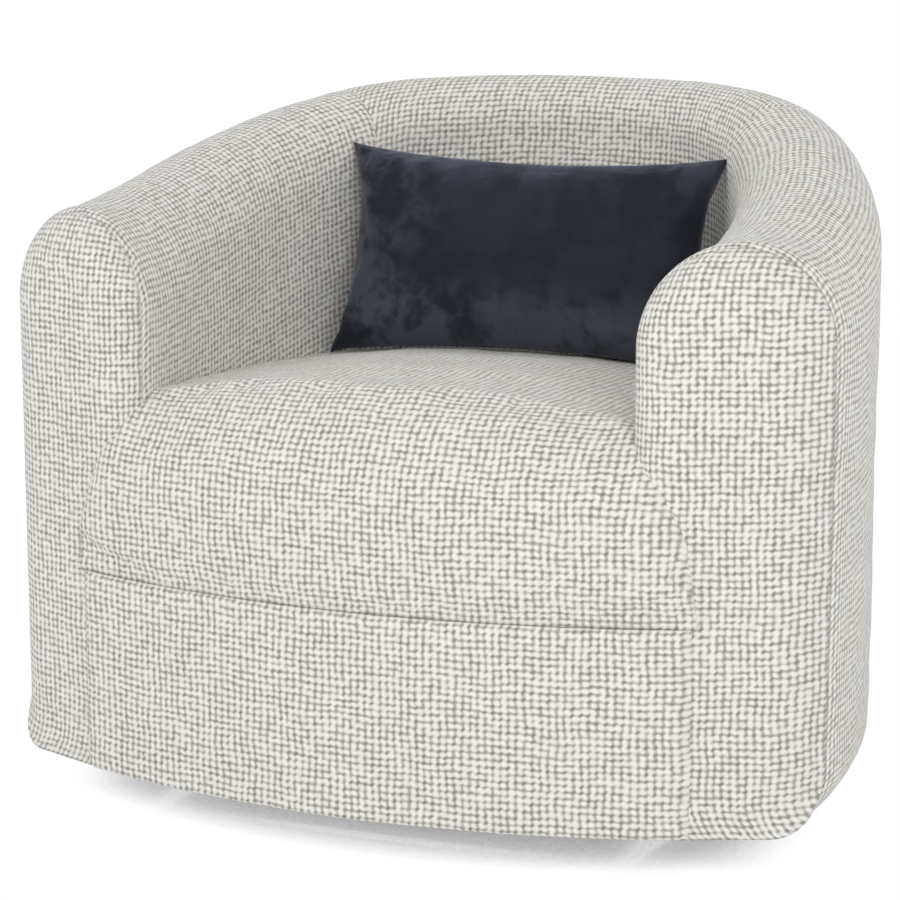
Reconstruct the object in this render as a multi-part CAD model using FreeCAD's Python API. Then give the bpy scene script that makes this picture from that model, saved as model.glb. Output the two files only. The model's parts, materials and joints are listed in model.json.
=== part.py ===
import FreeCAD, Part
import math
import os
from FreeCAD import Matrix, Rotation, Vector

os.makedirs("parts", exist_ok=True)

# A barrel-backed swivel rocker. Millimetres, +Z up, the sitter faces -Y, and the chair
# turns about the Z axis. Each function below makes one sub-part or one group of like ones.

# The upholstered wall: one roll that runs along an arm, round the back and along the other arm
shell_bottom_z = 40.0
arm_top_z = 627.0
back_top_z = 724.0
arm_half_width = 90.0
back_half_width = 62.0
arm_line_x = 357.0
arm_line_y = -258.0
arm_splay_deg = 4.5
arm_pull = 296.0
back_pull = 282.0
back_line_y = 346.0
back_seam_at = 0.58
back_lean_deg = 15.0
edge_round = 57.0
hem_round = 60.0
hem_taper = 0.5
panel_depth = 38.0
toe_fades_at = 0.35
lean_ledge = 1.0
front_steps = 4
arm_steps = 7
back_steps = 10

# The bowed front: the rail's cover and the arm faces follow one arc in plan
front_y = -408.0
front_radius = 944.0
arm_face_setback = 10.0
rail_bottom_z = 44.0
seam_z = 257.0
rail_half_width = 334.0
rail_edge_round = 6.0

# Fabric, padding and the gaps that they are made with
cover_t = 2.5
soft_gap = 0.5
wood_gap = 0.5
fit_gap = 0.05
cut_below = 5.0
run_past = 0.01
arm_front_foam = 40.0
crown_foam = 34.0
frame_half = 28.0

# The tight seat
seat_side_x = 264.0
seat_lap_x = 334.0
seat_fall_x = 336.0
seat_fall_power = 2.4
seat_fall_root = 0.7
seat_side_z = 442.7
seat_crown = 26.0
seat_back_crown = 0.25
seat_back_z = 396.8
seat_back_y = 250.0
seat_bow = 3.0
seat_crown_bow = 0.4
seat_nose_run = 80.0
seat_nose_least = 0.35
seat_brow_z = 345.0
seat_bulge = 8.0
seat_setback = 8.0

# The wooden frame
board_t = 22.0
front_board_y = -298.0
back_board_y = 128.0
frame_front_x = 256.0
frame_back_x = 212.0
frame_bottom_z = 60.0
frame_top_z = 249.0
wall_rail_h = 55.0
top_rail_h = 24.0
slat_w = 40.0
cross_rail_y = 90.0
cross_rail_w = 50.0
cross_rail_h = 28.0
block_leg = 46.0
block_h = 60.0
block_drop = 12.0
arm_slat_at = (0.2, 0.48)
back_slat_at = (0.74, 0.9, 1.1, 1.26)

# Seat springs and their clips
spring_wire_d = 4.0
seat_spring_pitch = 78.0
seat_spring_count = 5
seat_spring_half = 27.0
seat_loop_pitch = 22.0
seat_spring_lead = 30.0
clip_l = 16.0
clip_w = 12.0
clip_cover = 0.3
clip_gap = 0.1
cloth_t = 1.5
deck_margin = 3.0
dust_margin = 2.0
dust_hole_gap = 18.0

# The floor ring and its spider
glide_h = 4.0
glide_r = 12.0
glide_count = 8
glide_grip = 4.0
glide_gap = 0.1
ring_r = 235.0
ring_tube_r = 10.0
spider_w = 32.0
spider_t = 5.0
spider_in_r = 28.0
hub_r = 95.0
hub_t = 4.0

# The ball bearing and the king bolt
race_in_r = 42.0
race_out_r = 76.0
race_t = 4.0
ball_r = 4.0
ball_pitch_r = 58.0
ball_count = 24
ball_gap = 0.15
race_space = 5.0
cage_t = 3.0
cage_half_w = 14.0
king_r = 6.0
king_gap = 0.3
king_head_h = 8.0
king_head_af = 19.0
nut_h = 10.0
washer_t = 2.0
washer_r = 15.0
washer_gap = 0.2
king_past = 5.0

# The rocker unit on the turntable
plate_half_x = 122.0
plate_half_y = 112.0
plate_t = 4.0
plate_corner_r = 18.0
cheek_x = 120.0
cheek_t = 4.0
cheek_r = 26.0
cheek_foot = 38.0
axle_above_plate = 53.0
axle_r = 7.0
axle_gap = 0.08
axle_half = 140.0
bush_t = 3.0
bush_flange_t = 3.0
bush_gap = 0.1
side_gap = 1.0
hanger_t = 6.0
hanger_half_y = 125.0
hanger_r = 17.0
flange_w = 40.0
flange_t = 4.0
hanger_drop = 30.0
hanger_web = 18.0
bar_half_w = 16.0
bar_t = 4.0
clip_ring_t = 2.0
clip_ring_r = 12.0
rivet_r = 4.0
rivet_head_r = 7.0
rivet_head_t = 3.0
rivet_y = 15.0
rock_forward_deg = 4.0
rock_back_deg = 5.0
bump_r = 13.0
bump_top_r = 9.1
bump_gap = 0.8

# The rocker's coil springs
coil_x = 72.0
coil_y = 80.0
coil_r = 18.0
coil_wire_r = 3.0
coil_turns = 5
cup_t = 3.0
cup_lip = 3.0
cup_wall = 1.5
cup_gap = 0.5

# Bolts
bolt_r = 4.0
bolt_gap = 0.3
bolt_head_h = 5.5
bolt_head_af = 13.0
arm_bolt_z = 82.0
arm_bolt_ys = (-210.0, -20.0)
arm_bolt_stand = 1.5
arm_bore_before = 20.0
arm_bore_past = 4.0
mech_bolt_x = 148.0
mech_bolt_past = 9.0
mech_nut_h = 6.5

# The loose pillow
pillow_half_w = 215.5
pillow_half_h = 124.3
pillow_draw = 17.0
pillow_draw_power = 2.2
pillow_half_t = 56.0
pillow_edge_t = 3.0
pillow_fall_power = 2.4
pillow_fall_root = 0.62
pillow_shares = (0.0, 0.25, 0.5, 0.7, 0.85, 0.95, 1.0)
pillow_x = -6.5
pillow_y = 114.0
pillow_z = 541.0
pillow_turn_deg = 3.6
pillow_lean_deg = 19.6
pillow_roll_deg = 0.6
pillow_skin = 1.5

up = Vector(0, 0, 1)
origin = Vector(0, 0, 0)


def smooth(u):
    """Rise from 0 to 1 with flat ends."""
    u = min(max(u, 0.0), 1.0)
    return u * u * (3 - 2 * u)


class Station:
    """A place along the wall: its centre in plan, the outward direction of its section,
    the half width measured along that direction, and the height of its top."""

    def __init__(self, s, grow=0.0):
        mirrored = s > 1
        t = 2 - s if mirrored else s
        splay = math.radians(arm_splay_deg)
        start = Vector(arm_line_x, arm_line_y, 0)
        ahead = Vector(math.sin(splay), math.cos(splay), 0)
        ctrl = [start, start + ahead * arm_pull, Vector(back_pull, back_line_y, 0), Vector(0, back_line_y, 0)]
        if t < 0:
            centre = start + ahead * (3 * arm_pull * t)
            along = ahead
        else:
            r = 1 - t
            centre = ctrl[0] * r**3 + ctrl[1] * (3 * r * r * t) + ctrl[2] * (3 * r * t * t) + ctrl[3] * t**3
            steps = [ctrl[i + 1] - ctrl[i] for i in range(3)]
            along = steps[0] * (r * r) + steps[1] * (2 * r * t) + steps[2] * (t * t)
        angle = math.atan2(-along.x, along.y)
        lean_in = (1 - smooth(t / toe_fades_at)) * (toe_angle() + splay)
        rise = smooth((centre.y - arm_line_y) / (back_line_y - arm_line_y))
        self.stretch = 1 / math.cos(lean_in)
        self.half = (arm_half_width + (back_half_width - arm_half_width) * rise + grow) * self.stretch
        self.top = arm_top_z + (back_top_z - arm_top_z) * rise + grow
        self.out = Vector(math.cos(angle + lean_in), math.sin(angle + lean_in), 0)
        self.centre = centre
        if mirrored:
            self.centre = Vector(-centre.x, centre.y, 0)
            self.out = Vector(-self.out.x, self.out.y, 0)

    def at(self, w, z):
        return self.centre + self.out * w + up * z


def arm_front_run():
    """Distance that the arm runs on ahead of its centre line's start, to the bowed front."""
    splay = math.radians(arm_splay_deg)
    dx = arm_line_x
    dy = arm_line_y - (front_y + front_radius)
    radius = front_radius - arm_face_setback
    b = dx * math.sin(splay) + dy * math.cos(splay)
    return b + math.sqrt(b * b - (dx * dx + dy * dy - radius * radius))


def toe_angle():
    """Turn of the arm's face about Z, square to the bowed front where the arm meets it."""
    run = arm_front_run()
    x = arm_line_x - run * math.sin(math.radians(arm_splay_deg))
    return math.asin(x / (front_radius - arm_face_setback))


def front_s(depth):
    """Place along the wall that lies a depth behind the arm's face."""
    turn = toe_angle() + math.radians(arm_splay_deg)
    return -(arm_front_run() - depth / math.cos(turn)) / (3 * arm_pull)


def arc(a, b, c):
    return Part.Arc(a, b, c).toShape()


def line(a, b):
    return Part.LineSegment(a, b).toShape()


def roll_section(st, inset, bottom, hem, lean_w=None):
    """Outline of the wall across its run: flat below, rounded outer hem, upright sides and an
    arched top. With a lean the inner side slopes out from the arch down to the seat."""
    half = st.half - inset
    zc = st.top - st.half
    q = math.sqrt(0.5)
    off = hem * (1 - q)
    edges = [
        line(st.at(-half, bottom), st.at(half - hem, bottom)),
        arc(st.at(half - hem, bottom), st.at(half - off, bottom + off), st.at(half, bottom + hem)),
        line(st.at(half, bottom + hem), st.at(half, zc)),
        arc(st.at(half, zc), st.at(half * q, zc + half * q), st.at(0, zc + half)),
        arc(st.at(0, zc + half), st.at(-half * q, zc + half * q), st.at(-half, zc)),
    ]
    if lean_w is None:
        edges.append(line(st.at(-half, zc), st.at(-half, bottom)))
    else:
        edges.append(line(st.at(-half, zc), st.at(-half - lean_w, seam_z)))
        edges.append(line(st.at(-half - lean_w, seam_z), st.at(-half, seam_z)))
        edges.append(line(st.at(-half, seam_z), st.at(-half, bottom)))
    return Part.Wire(edges)


def loft(wires):
    return Part.makeLoft(wires, True, False)


def arm_roll(grow=0.0, drop=0.0, past=0.0):
    """The right arm's outer form, offset outward by grow, lowered by drop at the bottom and
    run on past the back seam."""
    bottom = shell_bottom_z - drop
    radius = edge_round + grow
    wires = []
    for step in range(front_steps + 1):
        psi = math.pi / 2 * step / front_steps
        depth = radius * (1 - math.cos(psi)) - grow
        inset = radius * (1 - math.sin(psi))
        st = Station(front_s(depth), grow=grow)
        hem = (hem_round + grow) * (1 - hem_taper * inset / radius)
        wires.append(roll_section(st, inset, bottom, hem))
    for i in range(1, arm_steps + 1):
        st = Station((back_seam_at + past) * i / arm_steps, grow=grow)
        wires.append(roll_section(st, 0.0, bottom, hem_round + grow))
    return loft(wires)


def back_roll(grow=0.0, drop=0.0, past=0.0):
    """The back's outer form between the two back seams, its inner side leaning back."""
    wires = []
    first = back_seam_at - past
    for i in range(back_steps + 1):
        s = first + (2 - 2 * first) * i / back_steps
        st = Station(s, grow=grow)
        amount = smooth((1 - abs(1 - s) - back_seam_at) / (1 - back_seam_at))
        reach = math.tan(math.radians(back_lean_deg)) * (st.top - st.half - seam_z)
        lean_w = lean_ledge + reach * amount
        wires.append(roll_section(st, 0.0, shell_bottom_z - drop, hem_round + grow, lean_w))
    return loft(wires)


def ribbon(s0, s1, half, low, high, count):
    """A band of wood or a hollow along the wall's centre line. low and high give its bottom
    and top from a Station."""
    wires = []
    for i in range(count + 1):
        st = Station(s0 + (s1 - s0) * i / count)
        w = half * st.stretch
        z0 = low(st)
        z1 = high(st)
        corners = [st.at(-w, z0), st.at(w, z0), st.at(w, z1), st.at(-w, z1)]
        wires.append(Part.makePolygon(corners + corners[:1]))
    return loft(wires)


def mirrored(shape):
    return shape.mirror(origin, Vector(1, 0, 0))


def box(x0, x1, y0, y1, z0, z1):
    return Part.makeBox(x1 - x0, y1 - y0, z1 - z0, Vector(x0, y0, z0))


def prism(points, z0, z1):
    """A plan outline of straight sides, raised from z0 to z1."""
    corners = [Vector(x, y, z0) for x, y in points]
    return Part.Face(Part.makePolygon(corners + corners[:1])).extrude(up * (z1 - z0))


def rod(radius, start, direction, length):
    return Part.makeCylinder(radius, length, start, direction)


def tube(r_in, r_out, start, direction, length):
    return rod(r_out, start, direction, length).cut(rod(r_in, start, direction, length))


def hexagon(flats, start, direction, length):
    """A hexagonal bar, square to the direction."""
    side = direction.cross(Vector(0, 1, 0)).normalize()
    reach = flats / math.sqrt(3)
    corners = [start + Rotation(direction, 60 * i).multVec(side) * reach for i in range(7)]
    return Part.Face(Part.makePolygon(corners)).extrude(direction * length)


def bolt(start, direction, length, radius=bolt_r, flats=bolt_head_af, head=bolt_head_h):
    """A hex bolt: start is under its head and direction points along its shank."""
    return rod(radius, start, direction, length).fuse(hexagon(flats, start, direction * -1, head))


def both_sides(shapes):
    return shapes + [mirrored(shape) for shape in shapes]


def save(name, shapes):
    """Write one node: a single solid, or a group of separate ones."""
    if not isinstance(shapes, list):
        shapes = [shapes]
    solids = [solid for shape in shapes for solid in shape.Solids]
    bad = [solid for solid in solids if not solid.isValid() or solid.Volume <= 0]
    if bad:
        raise RuntimeError(name + " has a solid that isn't valid")
    shape = solids[0] if len(solids) == 1 else Part.makeCompound(solids)
    shape.exportStep("parts/" + name + ".step")


# Heights that follow from the stack of parts above the floor
ring_z = glide_h + ring_tube_r
spider_top = ring_z + ring_tube_r
hub_top = spider_top + hub_t
lower_race_top = hub_top + race_t
ball_z = lower_race_top + race_space / 2
upper_race_z = lower_race_top + race_space
plate_z = upper_race_z + race_t
plate_top = plate_z + plate_t
axle_z = plate_top + axle_above_plate
flange_top = axle_z + hanger_drop + flange_t
bar_top = flange_top - flange_t
cross_rail_z = flange_top


def floor_ring():
    return Part.makeTorus(ring_r, ring_tube_r, Vector(0, 0, ring_z))


def floor_glides():
    """Nylon feet that the round tube of the ring is seated in."""
    seat = Part.makeTorus(ring_r, ring_tube_r + glide_gap, Vector(0, 0, ring_z))
    feet = []
    for i in range(glide_count):
        angle = math.radians(360 * (i + 0.5) / glide_count)
        place = Vector(ring_r * math.cos(angle), ring_r * math.sin(angle), 0)
        feet.append(rod(glide_r, place, up, glide_h + glide_grip).cut(seat))
    return feet


def spider_arms():
    """Four flat bars from the ring to the hub plate, flush with the top of the ring."""
    ring = Part.makeTorus(ring_r, ring_tube_r + fit_gap, Vector(0, 0, ring_z))
    bar = box(spider_in_r, ring_r, -spider_w / 2, spider_w / 2, spider_top - spider_t, spider_top).cut(ring)
    bar = max(bar.Solids, key=lambda solid: solid.Volume)
    return [bar.rotated(origin, up, 45 + 90 * i) for i in range(4)]


def hub_plate():
    return tube(king_r + king_gap, hub_r, Vector(0, 0, spider_top), up, hub_t)


def race(z):
    """A bearing race with a groove that the balls run in."""
    groove = Part.makeTorus(ball_pitch_r, ball_r + ball_gap, Vector(0, 0, ball_z))
    return tube(race_in_r, race_out_r, Vector(0, 0, z), up, race_t).cut(groove)


def ball_places():
    turns = [math.radians(360 * i / ball_count) for i in range(ball_count)]
    return [Vector(ball_pitch_r * math.cos(a), ball_pitch_r * math.sin(a), ball_z) for a in turns]


def ball_cage():
    low = ball_z - cage_t / 2
    cage = tube(ball_pitch_r - cage_half_w, ball_pitch_r + cage_half_w, Vector(0, 0, low), up, cage_t)
    pockets = [rod(ball_r + ball_gap, Vector(p.x, p.y, low), up, cage_t) for p in ball_places()]
    return cage.cut(pockets)


def bearing_balls():
    return [Part.makeSphere(ball_r, p) for p in ball_places()]


def king_bolt():
    length = plate_top + washer_t + nut_h + king_past - spider_top
    return bolt(Vector(0, 0, spider_top), up, length, king_r, king_head_af, king_head_h)


def thrust_washer():
    return tube(king_r + 2 * fit_gap, washer_r, Vector(0, 0, plate_top + washer_gap), up, washer_t)


def king_nut():
    start = Vector(0, 0, plate_top + washer_gap + washer_t)
    return hexagon(king_head_af, start, up, nut_h).cut(rod(king_r + fit_gap, start, up, nut_h))


def turntable_plate():
    """The plate that turns on the upper race, with the holes for the king bolt and the rivets."""
    plate = box(-plate_half_x, plate_half_x, -plate_half_y, plate_half_y, plate_z, plate_top)
    corners = [edge for edge in plate.Edges if abs(edge.tangentAt(0).z) > 0.9]
    plate = plate.makeFillet(plate_corner_r, corners)
    holes = [rod(king_r + king_gap, Vector(0, 0, plate_z), up, plate_t)]
    holes += [rod(rivet_r + fit_gap, Vector(p.x, p.y, plate_z), up, plate_t) for p in rivet_places()]
    return plate.cut(holes)


def rivet_places():
    x = cheek_x - cheek_foot / 2
    return [Vector(sx * x, sy * rivet_y, 0) for sx in (-1, 1) for sy in (-1, 1)]


def pivot_cheeks():
    """Two folded brackets that carry the rocker's axle, their tops round about it."""
    outer = cheek_x
    inner = cheek_x - cheek_t
    upright = box(inner, outer, -cheek_r, cheek_r, plate_top, axle_z)
    upright = upright.fuse(rod(cheek_r, Vector(inner, 0, axle_z), Vector(1, 0, 0), cheek_t))
    foot = box(outer - cheek_foot, inner, -cheek_r, cheek_r, plate_top, plate_top + cheek_t)
    cheek = upright.fuse(foot).removeSplitter()
    holes = [rod(axle_r + fit_gap, Vector(inner, 0, axle_z), Vector(1, 0, 0), cheek_t)]
    holes += [rod(rivet_r + fit_gap, p + up * plate_top, up, cheek_t) for p in rivet_places()]
    return both_sides([cheek.cut(holes)])


def cheek_rivets():
    rivets = []
    for p in rivet_places():
        shank = rod(rivet_r, p + up * plate_z, up, plate_t + cheek_t)
        head = rod(rivet_head_r, p + up * (plate_top + cheek_t), up, rivet_head_t)
        rivets.append(shank.fuse(head))
    return rivets


def rocker_axle():
    return rod(axle_r, Vector(-axle_half, 0, axle_z), Vector(1, 0, 0), 2 * axle_half)


def axle_rings():
    """Push-on rings that keep the hangers on the axle."""
    start = hanger_x() + hanger_t + bush_flange_t + side_gap
    ring = tube(axle_r + fit_gap, clip_ring_r, Vector(start, 0, axle_z), Vector(1, 0, 0), clip_ring_t)
    return both_sides([ring])


def hanger_x():
    """Inner face of a hanger, past the cheek, a running space and the bush's flange."""
    return cheek_x + side_gap + bush_flange_t


def rocker_hangers():
    """Two angle-section side arms: they hang from the seat frame's cross rails and turn on the axle."""
    x0 = hanger_x()
    x1 = x0 + hanger_t
    web = box(x0, x1, -hanger_half_y, hanger_half_y, bar_top - hanger_web, flange_top)
    ear = rod(hanger_r, Vector(x0, 0, axle_z), Vector(1, 0, 0), hanger_t)
    neck = box(x0, x1, -hanger_r, hanger_r, axle_z, flange_top)
    flange = box(x0, x0 + flange_w, -hanger_half_y, hanger_half_y, flange_top - flange_t, flange_top)
    hanger = web.fuse([ear, neck, flange]).removeSplitter()
    holes = [rod(bush_outer_r() + fit_gap, Vector(x0, 0, axle_z), Vector(1, 0, 0), hanger_t)]
    low = up * (flange_top - flange_t)
    holes += [rod(bolt_r + bolt_gap, p + low, up, flange_t) for p in mech_bolt_places()]
    return both_sides([hanger.cut(holes)])


def bush_outer_r():
    return axle_r + axle_gap + bush_t


def rocker_bushes():
    """Flanged nylon bushes between the axle and the hangers."""
    axis = Vector(1, 0, 0)
    start = hanger_x() - bush_flange_t
    reach = 2 * bush_flange_t + hanger_t
    sleeve = rod(bush_outer_r(), Vector(start, 0, axle_z), axis, reach)
    flange = rod(bush_outer_r() + bush_t, Vector(start, 0, axle_z), axis, bush_flange_t - bush_gap)
    bore = rod(axle_r + axle_gap, Vector(start, 0, axle_z), axis, reach)
    return both_sides([sleeve.fuse(flange).cut(bore)])


def coil_places():
    return [Vector(sx * coil_x, sy * coil_y, 0) for sx in (-1, 1) for sy in (-1, 1)]


def rocker_bars():
    """Two flat bars from hanger to hanger, over the coil springs."""
    half_x = hanger_x()
    bars = []
    for side in (-1, 1):
        y = side * coil_y
        bars.append(box(-half_x, half_x, y - bar_half_w, y + bar_half_w, bar_top - bar_t, bar_top))
    return bars


def spring_cup(p, z, opens_up):
    """A pressed cup: a disc with a lip that goes round the end of a coil."""
    inner = coil_r + coil_wire_r + cup_gap
    outer = inner + cup_wall
    base = z if opens_up else z - cup_t
    lip_z = z + cup_t if opens_up else z - cup_t - cup_lip
    disc = rod(outer, Vector(p.x, p.y, base), up, cup_t)
    lip = tube(inner, outer, Vector(p.x, p.y, lip_z), up, cup_lip)
    return disc.fuse(lip)


def lower_cups():
    return [spring_cup(p, plate_top, True) for p in coil_places()]


def upper_cups():
    return [spring_cup(p, bar_top - bar_t, False) for p in coil_places()]


def tangent_arc(start, along, end):
    """The arc that leaves start along a direction and reaches end."""
    chord = end - start
    length = chord.Length
    unit = chord * (1 / length)
    side = along - unit * along.dot(unit)
    if side.Length < 1e-9:
        return line(start, end)
    side.normalize()
    turn = math.acos(max(-1.0, min(1.0, along.dot(unit))))
    return arc(start, (start + end) * 0.5 + side * (length / 2 * math.tan(turn / 2)), end)


def biarc(p0, t0, p1, t1):
    """Two arcs with one tangent where they meet, from p0 along t0 to p1 along t1."""
    v = p1 - p0
    t = t0 + t1
    a = 2 * (1 - t0.dot(t1))
    b = v.dot(t)
    d = (-b + math.sqrt(b * b + a * v.dot(v))) / a
    joint = ((p0 + t0 * d) + (p1 - t1 * d)) * 0.5
    back = tangent_arc(p1, t1 * -1, joint)
    first = tangent_arc(p0, t0, joint)
    middle = back.valueAt((back.FirstParameter + back.LastParameter) / 2)
    return [first, arc(joint, middle, p1)]


def coil_spring(p):
    """A compression spring: quarter turns at a steady climb between the two cups."""
    z0 = plate_top + cup_t + coil_wire_r + fit_gap
    z1 = bar_top - bar_t - cup_t - coil_wire_r - fit_gap
    quarters = 4 * coil_turns
    climb = (z1 - z0) / quarters
    places = []
    ways = []
    for i in range(quarters + 1):
        angle = math.pi / 2 * i
        places.append(Vector(p.x + coil_r * math.cos(angle), p.y + coil_r * math.sin(angle), z0 + climb * i))
        way = Vector(-math.sin(angle) * coil_r * math.pi / 2, math.cos(angle) * coil_r * math.pi / 2, climb)
        ways.append(way.normalize())
    edges = []
    for i in range(quarters):
        edges += biarc(places[i], ways[i], places[i + 1], ways[i + 1])
    path = Part.Wire(edges)
    ring = Part.Wire([Part.makeCircle(coil_wire_r, places[0], ways[0])])
    points = [edge.valueAt(edge.FirstParameter + (edge.LastParameter - edge.FirstParameter) * k / 4)
              for edge in edges for k in range(4)]
    skip = 16
    least = min((a - b).Length for i, a in enumerate(points) for b in points[i + skip:])
    print("rocker spring: least gap between turns %.2f mm" % (least - 2 * coil_wire_r))
    return path.makePipeShell([ring], True, False)


def rocker_springs(side):
    return [coil_spring(p) for p in coil_places() if p.y * side > 0]


def bump_stops():
    """Rubber stops between the coils, front and back, that end the rocking."""
    stops = []
    for side, limit in ((-1, rock_forward_deg), (1, rock_back_deg)):
        drop = (coil_y + bar_half_w) * math.sin(math.radians(limit)) + bump_gap
        height = bar_top - bar_t - drop - plate_top
        foot = Vector(0, side * coil_y, plate_top)
        stops.append(Part.makeCone(bump_r, bump_top_r, height, foot))
    return stops


def side_x(y, inner):
    """Face of the seat frame's side rail at a depth y: the rails close in towards the back."""
    y0 = front_board_y - board_t
    y1 = back_board_y + board_t
    x = frame_front_x + (frame_back_x - frame_front_x) * (y - y0) / (y1 - y0)
    return x - board_t if inner else x


def front_board():
    y0 = front_board_y - board_t
    return box(-frame_front_x, frame_front_x, y0, front_board_y, frame_bottom_z, frame_top_z)


def back_board():
    y1 = back_board_y + board_t
    half = side_x(y1, False)
    return box(-half, half, back_board_y, y1, frame_bottom_z, frame_top_z)


def side_boards():
    ys = (front_board_y, back_board_y)
    outer = [(side_x(y, False), y) for y in ys]
    inner = [(side_x(y, True), y) for y in reversed(ys)]
    board = prism(outer + inner, frame_bottom_z, frame_top_z)
    return board.cut(arm_bolt_bores(bolt_r + bolt_gap))


def cross_rail(side):
    """A rail across the seat frame that the rocker's hangers are bolted under."""
    ys = [side * cross_rail_y - cross_rail_w / 2, side * cross_rail_y + cross_rail_w / 2]
    right = [(side_x(y, True), y) for y in ys]
    left = [(-x, y) for x, y in reversed(right)]
    rail = prism(right + left, cross_rail_z, cross_rail_z + cross_rail_h)
    holes = []
    for p in mech_bolt_places():
        holes += both_sides([rod(bolt_r + bolt_gap, p + up * cross_rail_z, up, cross_rail_h)])
    return rail.cut(holes)


def corner_blocks():
    """Triangular glue blocks in the corners of the seat frame, under its top edge."""
    blocks = []
    high = frame_top_z - block_drop
    for y, step in ((front_board_y, 1), (back_board_y, -1)):
        x = side_x(y, True)
        reach = y + step * block_leg
        plan = [(x, y), (side_x(reach, True), reach), (x - block_leg, y)]
        blocks.append(prism(plan, high - block_h, high))
    return both_sides(blocks)


def mech_bolt_places():
    return [Vector(mech_bolt_x, side * cross_rail_y, 0) for side in (-1, 1)]


def mech_bolts():
    """Bolts up through the hangers' flanges and the cross rails."""
    length = flange_t + cross_rail_h + mech_bolt_past
    return both_sides([bolt(p + up * (flange_top - flange_t), up, length) for p in mech_bolt_places()])


def mech_nuts():
    nuts = []
    for p in mech_bolt_places():
        start = p + up * (cross_rail_z + cross_rail_h)
        nut = hexagon(bolt_head_af, start, up, mech_nut_h)
        nuts.append(nut.cut(rod(bolt_r + fit_gap, start, up, mech_nut_h)))
    return both_sides(nuts)


def arm_bolt_places():
    return [Vector(side_x(y, True) - arm_bolt_stand, y, arm_bolt_z) for y in arm_bolt_ys]


def arm_bolt_reach(p):
    """From the side board's inner face to past the middle of the arm's bottom rail."""
    tries = [Station(back_seam_at * i / 100) for i in range(101)]
    return min(tries, key=lambda st: abs(st.centre.y - p.y)).centre.x - p.x


def arm_bolts():
    """Long bolts from inside the seat frame into the arms' bottom rails."""
    return both_sides([bolt(p, Vector(1, 0, 0), arm_bolt_reach(p)) for p in arm_bolt_places()])


def arm_bolt_bores(radius):
    axis = Vector(1, 0, 0)
    bores = []
    for p in arm_bolt_places():
        length = arm_bore_before + arm_bolt_reach(p) + arm_bore_past
        bores.append(rod(radius, p - axis * arm_bore_before, axis, length))
    return bores


def hollow_top(st):
    return st.top - crown_foam * st.stretch


def wall_bottom(st):
    return frame_bottom_z


def wall_hollow(s0, s1, count):
    """The space inside the padding that the wall's wooden frame stands in."""
    return ribbon(s0, s1, frame_half, lambda st: shell_bottom_z - cut_below, hollow_top, count)


def arm_frame_start():
    return front_s(arm_front_foam)


def s_step(length):
    """A length along the arm's straight front part, as a step of the wall's place value."""
    return length / (3 * arm_pull)


def bottom_rail(s0, s1, count):
    return ribbon(s0, s1, frame_half - wood_gap, wall_bottom, lambda st: frame_bottom_z + wall_rail_h, count)


def top_rail(s0, s1, count):
    low = lambda st: hollow_top(st) - wood_gap - top_rail_h
    return ribbon(s0, s1, frame_half - wood_gap, low, lambda st: hollow_top(st) - wood_gap, count)


def slat(s0, width):
    """An upright between a bottom rail and a top rail."""
    low = lambda st: frame_bottom_z + wall_rail_h
    high = lambda st: hollow_top(st) - 2 * wood_gap - top_rail_h
    return ribbon(s0, s0 + s_step(width), frame_half - wood_gap, low, high, 1)


def arm_post():
    """The upright behind the arm's face, as high as the frame."""
    start = arm_frame_start() + s_step(wood_gap)
    return ribbon(start, start + s_step(board_t), frame_half - wood_gap, wall_bottom,
                  lambda st: hollow_top(st) - wood_gap, 1)


def arm_frame_from():
    return arm_frame_start() + s_step(board_t + 2 * wood_gap)


def arm_bottom_rail():
    rail = bottom_rail(arm_frame_from(), back_seam_at, 6)
    return rail.cut(arm_bolt_bores(bolt_r + bolt_gap))


def arm_top_rail():
    return top_rail(arm_frame_from(), back_seam_at, 6)


def arm_slats():
    return [slat(s, slat_w) for s in arm_slat_at]


def back_slats():
    return [slat(s - s_step(slat_w) / 2, slat_w) for s in back_slat_at]


def arm_parts():
    """The right arm's padding, its cover and the cover's front panel."""
    shell = arm_roll()
    inside = arm_roll(-cover_t, cut_below, run_past)
    skin = shell.cut(inside)
    foam = arm_roll(-cover_t - soft_gap)
    hollow = wall_hollow(arm_frame_start(), back_seam_at + 2 * run_past, 6)
    bores = arm_bolt_bores(bolt_r + bolt_gap)
    foam = foam.cut([hollow] + bores)
    skin = skin.cut(bores)
    st = Station(front_s(panel_depth))
    ahead = Vector(st.out.y, -st.out.x, 0)
    reach = 2 * arm_half_width
    near = [st.centre - st.out * reach, st.centre + st.out * reach]
    plan = [(q.x, q.y) for q in near + [near[1] + ahead * reach, near[0] + ahead * reach]]
    ahead_half = prism(plan, shell_bottom_z - cut_below, back_top_z)
    panel = skin.common(ahead_half)
    cover = skin.cut(ahead_half)
    return largest(foam), largest(cover), largest(panel)


def largest(shape):
    return max(shape.Solids, key=lambda solid: solid.Volume)


def back_parts():
    """The back's padding and its cover."""
    skin = back_roll().cut(back_roll(-cover_t, cut_below, run_past))
    foam = back_roll(-cover_t - soft_gap)
    first = back_seam_at - 2 * run_past
    foam = foam.cut(wall_hollow(first, 2 - first, 10))
    return largest(foam), largest(skin)


def wall_forms():
    """The arms and the back with room round them, for what is fitted between them."""
    arm = arm_roll(soft_gap, cut_below, run_past / 2)
    return [arm, mirrored(arm), back_roll(soft_gap, cut_below)]


def front_arc_y(x, inset=0.0):
    radius = front_radius - inset
    return front_y + front_radius - math.sqrt(radius * radius - x * x)


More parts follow.
